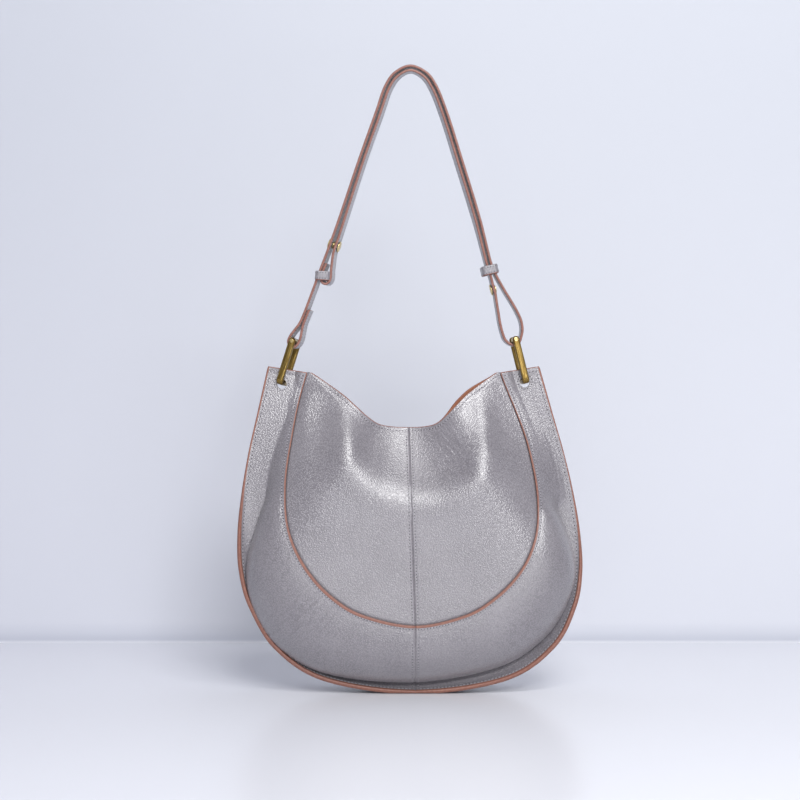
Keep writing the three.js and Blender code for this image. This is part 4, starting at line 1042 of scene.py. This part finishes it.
# Where each snap stands, its lean, its distance across the strap, and which way its cap faces.
SNAPS = {"left_snap_stud": ((-73.7, 422), 19.1, -2.75, 1), "left_snap_socket": ((-73.7, 422), 19.1, 2.75, -1),
         "right_snap": ((77.1, 380.2), -15.4, 0, 1)}
for name, (at, tilt, offset, way) in SNAPS.items():
    face_at = STRAP_THICK / 2 + 0.3
    parts = [rod(CAP_R, CAP_TALL, (offset - way * (face_at + CAP_TALL / 2), 0, 0), "X", 0.6),
             rod(NECK_R, 2 * face_at + 0.2, (offset, 0, 0), "X", 0.05, 24),
             rod(STUD_R, STUD_TALL, (offset + way * (face_at + STUD_TALL / 2), 0, 0), "X", 0.4)]
    piece = place(joined(parts), f"{name}_metal", on_strap(at, tilt), at, POLISHED)
    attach(piece, "strap")
    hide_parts(name)

# ---- Magnetic snap ----
# Two plated discs, pressed through the linings just below the mouth, hold it shut.
MAGNET_R, MAGNET_THICK, MAGNET_Y, MAGNET_DOWN = 9, 2.6, 1.45, 14
for word, sign in (("front", -1), ("back", 1)):
    mouth = outline(MOUTH, np.array([0.0]))[0]
    at = (mouth[0], mouth[1] - MAGNET_DOWN)
    disc = joined([rod(MAGNET_R, MAGNET_THICK, (0, sign * MAGNET_Y, 0), "Y", 0.5)])
    piece = place(disc, f"{word}_mouth_magnet_disc", Matrix.Identity(4), at, POLISHED)
    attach(piece, "bag")
    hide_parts(f"mouth_magnet_{word}")

# ---- Studio ----
# A pale acrylic floor meets a pale wall close behind the bag in a small curve. A wide softbox above and
# behind the camera and a strip nearer the bag light it, with a low fill in front. Sizes are in metres.
WALL_AT, COVE_R, FLOOR_FRONT, WALL_TOP, HALF_WIDE = 0.365, 0.02, -6.0, 4.0, 5
# The floor lies a hair below the bag, so that the two don't share a face.
FLOOR_DOWN = 0.4 * MM
profile = [(FLOOR_FRONT, 0.0)] + [(WALL_AT + COVE_R * math.sin(t), COVE_R * (1 - math.cos(t)))
                                  for t in np.linspace(0, math.pi / 2, 17)] + [(WALL_AT + COVE_R, WALL_TOP)]
points = [(x, y, z - FLOOR_DOWN) for y, z in profile for x in (-HALF_WIDE, HALF_WIDE)]
faces = [(2 * k, 2 * k + 1, 2 * k + 3, 2 * k + 2) for k in range(len(profile) - 1)]
mesh = bpy.data.meshes.new("cove")
mesh.from_pydata(points, [], faces)
mesh.polygons.foreach_set("use_smooth", [True] * len(mesh.polygons))
# Polished acrylic gives the floor a faint, soft image of the bag; the wall is matt, and shade is painted on
# it:
# a little greyer towards the top and to the left, and darker in the curve, where less light reaches.
m, tree, shader, where = material("pale_acrylic", Specular_IOR_Level=0.3)
place_of = node(tree, "ShaderNodeSeparateXYZ", None, {"Vector": where})
up, right = place_of.outputs["Z"], place_of.outputs["X"]
on_wall = node(tree, "ShaderNodeMapRange", STEP, {"Value": up}, From_Max=0.015)
tone = node(tree, "ShaderNodeMix", COLOUR, {"Factor": on_wall}, A=linear("#eff0f6"), B=linear("#d9dbe3"))
# Painted shade: the wall greys towards the top.
upper_shade_mask = node(tree, "ShaderNodeMapRange", STEP, {"Value": up}, From_Min=0.1, From_Max=0.7)
higher = node(tree, "ShaderNodeMix", COLOUR, {
    "Factor": upper_shade_mask, "A": tone}, B=linear("#ced1d9"))
# Painted shade darkens the curve where floor meets wall.
bend_low = node(tree, "ShaderNodeMapRange", STEP, {"Value": up}, From_Min=-FLOOR_DOWN, From_Max=0.003)
bend_high = node(tree, "ShaderNodeMapRange", STEP, {"Value": up},
                 From_Min=0.004, From_Max=0.024, To_Min=1.0, To_Max=0.0)
bend = node(tree, "ShaderNodeMath", {"operation": "MULTIPLY"}, {
    0: bend_low, 1: bend_high})
shaded = node(tree, "ShaderNodeMix", COLOUR, {
    "Factor": bend, "A": higher}, B=linear("#c9ccd7"))
# Painted shade darkens wall and floor slightly towards the left.
left_shade_mask = node(tree, "ShaderNodeMapRange", STEP, {"Value": right},
                 From_Min=-0.6, From_Max=0.1, To_Min=1.0, To_Max=0.0)
left = node(tree, "ShaderNodeMix", COLOUR | {"blend_type": "MULTIPLY"}, {
    "Factor": left_shade_mask, "A": shaded}, B=linear("#f8f8fa"))
polish = node(tree, "ShaderNodeMapRange", STEP, {"Value": up},
              From_Min=-FLOOR_DOWN, From_Max=0.002, To_Min=0.26, To_Max=0.85)
feed(tree, shader, {"Base Color": left, "Roughness": polish})
# The wall is seen from its front only, so that the bag can be looked at from behind.
behind = node(tree, "ShaderNodeNewGeometry").outputs["Backfacing"]
clear = node(tree, "ShaderNodeBsdfTransparent")
seen = node(tree, "ShaderNodeMixShader", None, {0: behind, 1: shader, 2: clear})
feed(tree, tree.nodes["Material Output"], {"Surface": seen})
mesh.materials.append(m)
cove = bpy.data.objects.new("cove", mesh)
bpy.context.scene.collection.objects.link(cove)


def softbox(name, at, aim, size, power):
    """A rectangular lamp of a size and power in watts, which faces the point aim."""
    light = bpy.data.lights.new(name, "AREA")
    light.shape = "RECTANGLE"
    light.size, light.size_y = size
    light.energy = power
    lamp = bpy.data.objects.new(name, light)
    bpy.context.scene.collection.objects.link(lamp)
    lamp.location = at
    lamp.rotation_euler = (Vector(aim) - Vector(at)).to_track_quat("-Z", "Y").to_euler()


softbox("front", (0.5, -3.1, 1.72), (0, 0, 0.2), (1.0, 0.7), 56)
softbox("strip", (0.3, -1.3, 1.55), (0, 0, 0.2), (0.8, 0.35), 15)
softbox("low_fill", (0.35, -2.3, 0.09), (0, 0, 0.1), (1.5, 0.15), 7)
world = bpy.data.worlds.new("studio")
bpy.context.scene.world = world
world.use_nodes = True
sky = world.node_tree.nodes["Background"].inputs
sky["Color"].default_value = linear("#eef0f8")
sky["Strength"].default_value = 0.3

# The camera stands level, a little left of the bag's middle, and takes in 760 mm at the bag.
DISTANCE, SEEN_WIDE = 1.9, 0.76
CAMERA_X, CAMERA_Z = -11.4, 275.275
camera = bpy.data.cameras.new("camera")
camera.sensor_width = 36
camera.lens = camera.sensor_width * DISTANCE / SEEN_WIDE
eye = bpy.data.objects.new("camera", camera)
bpy.context.scene.collection.objects.link(eye)
eye.location = ((CAMERA_X + SHIFT_X) * MM, -DISTANCE, CAMERA_Z * MM)
eye.rotation_euler = (math.pi / 2, 0, 0)
bpy.context.scene.camera = eye
bpy.context.scene.view_settings.view_transform = "Standard"
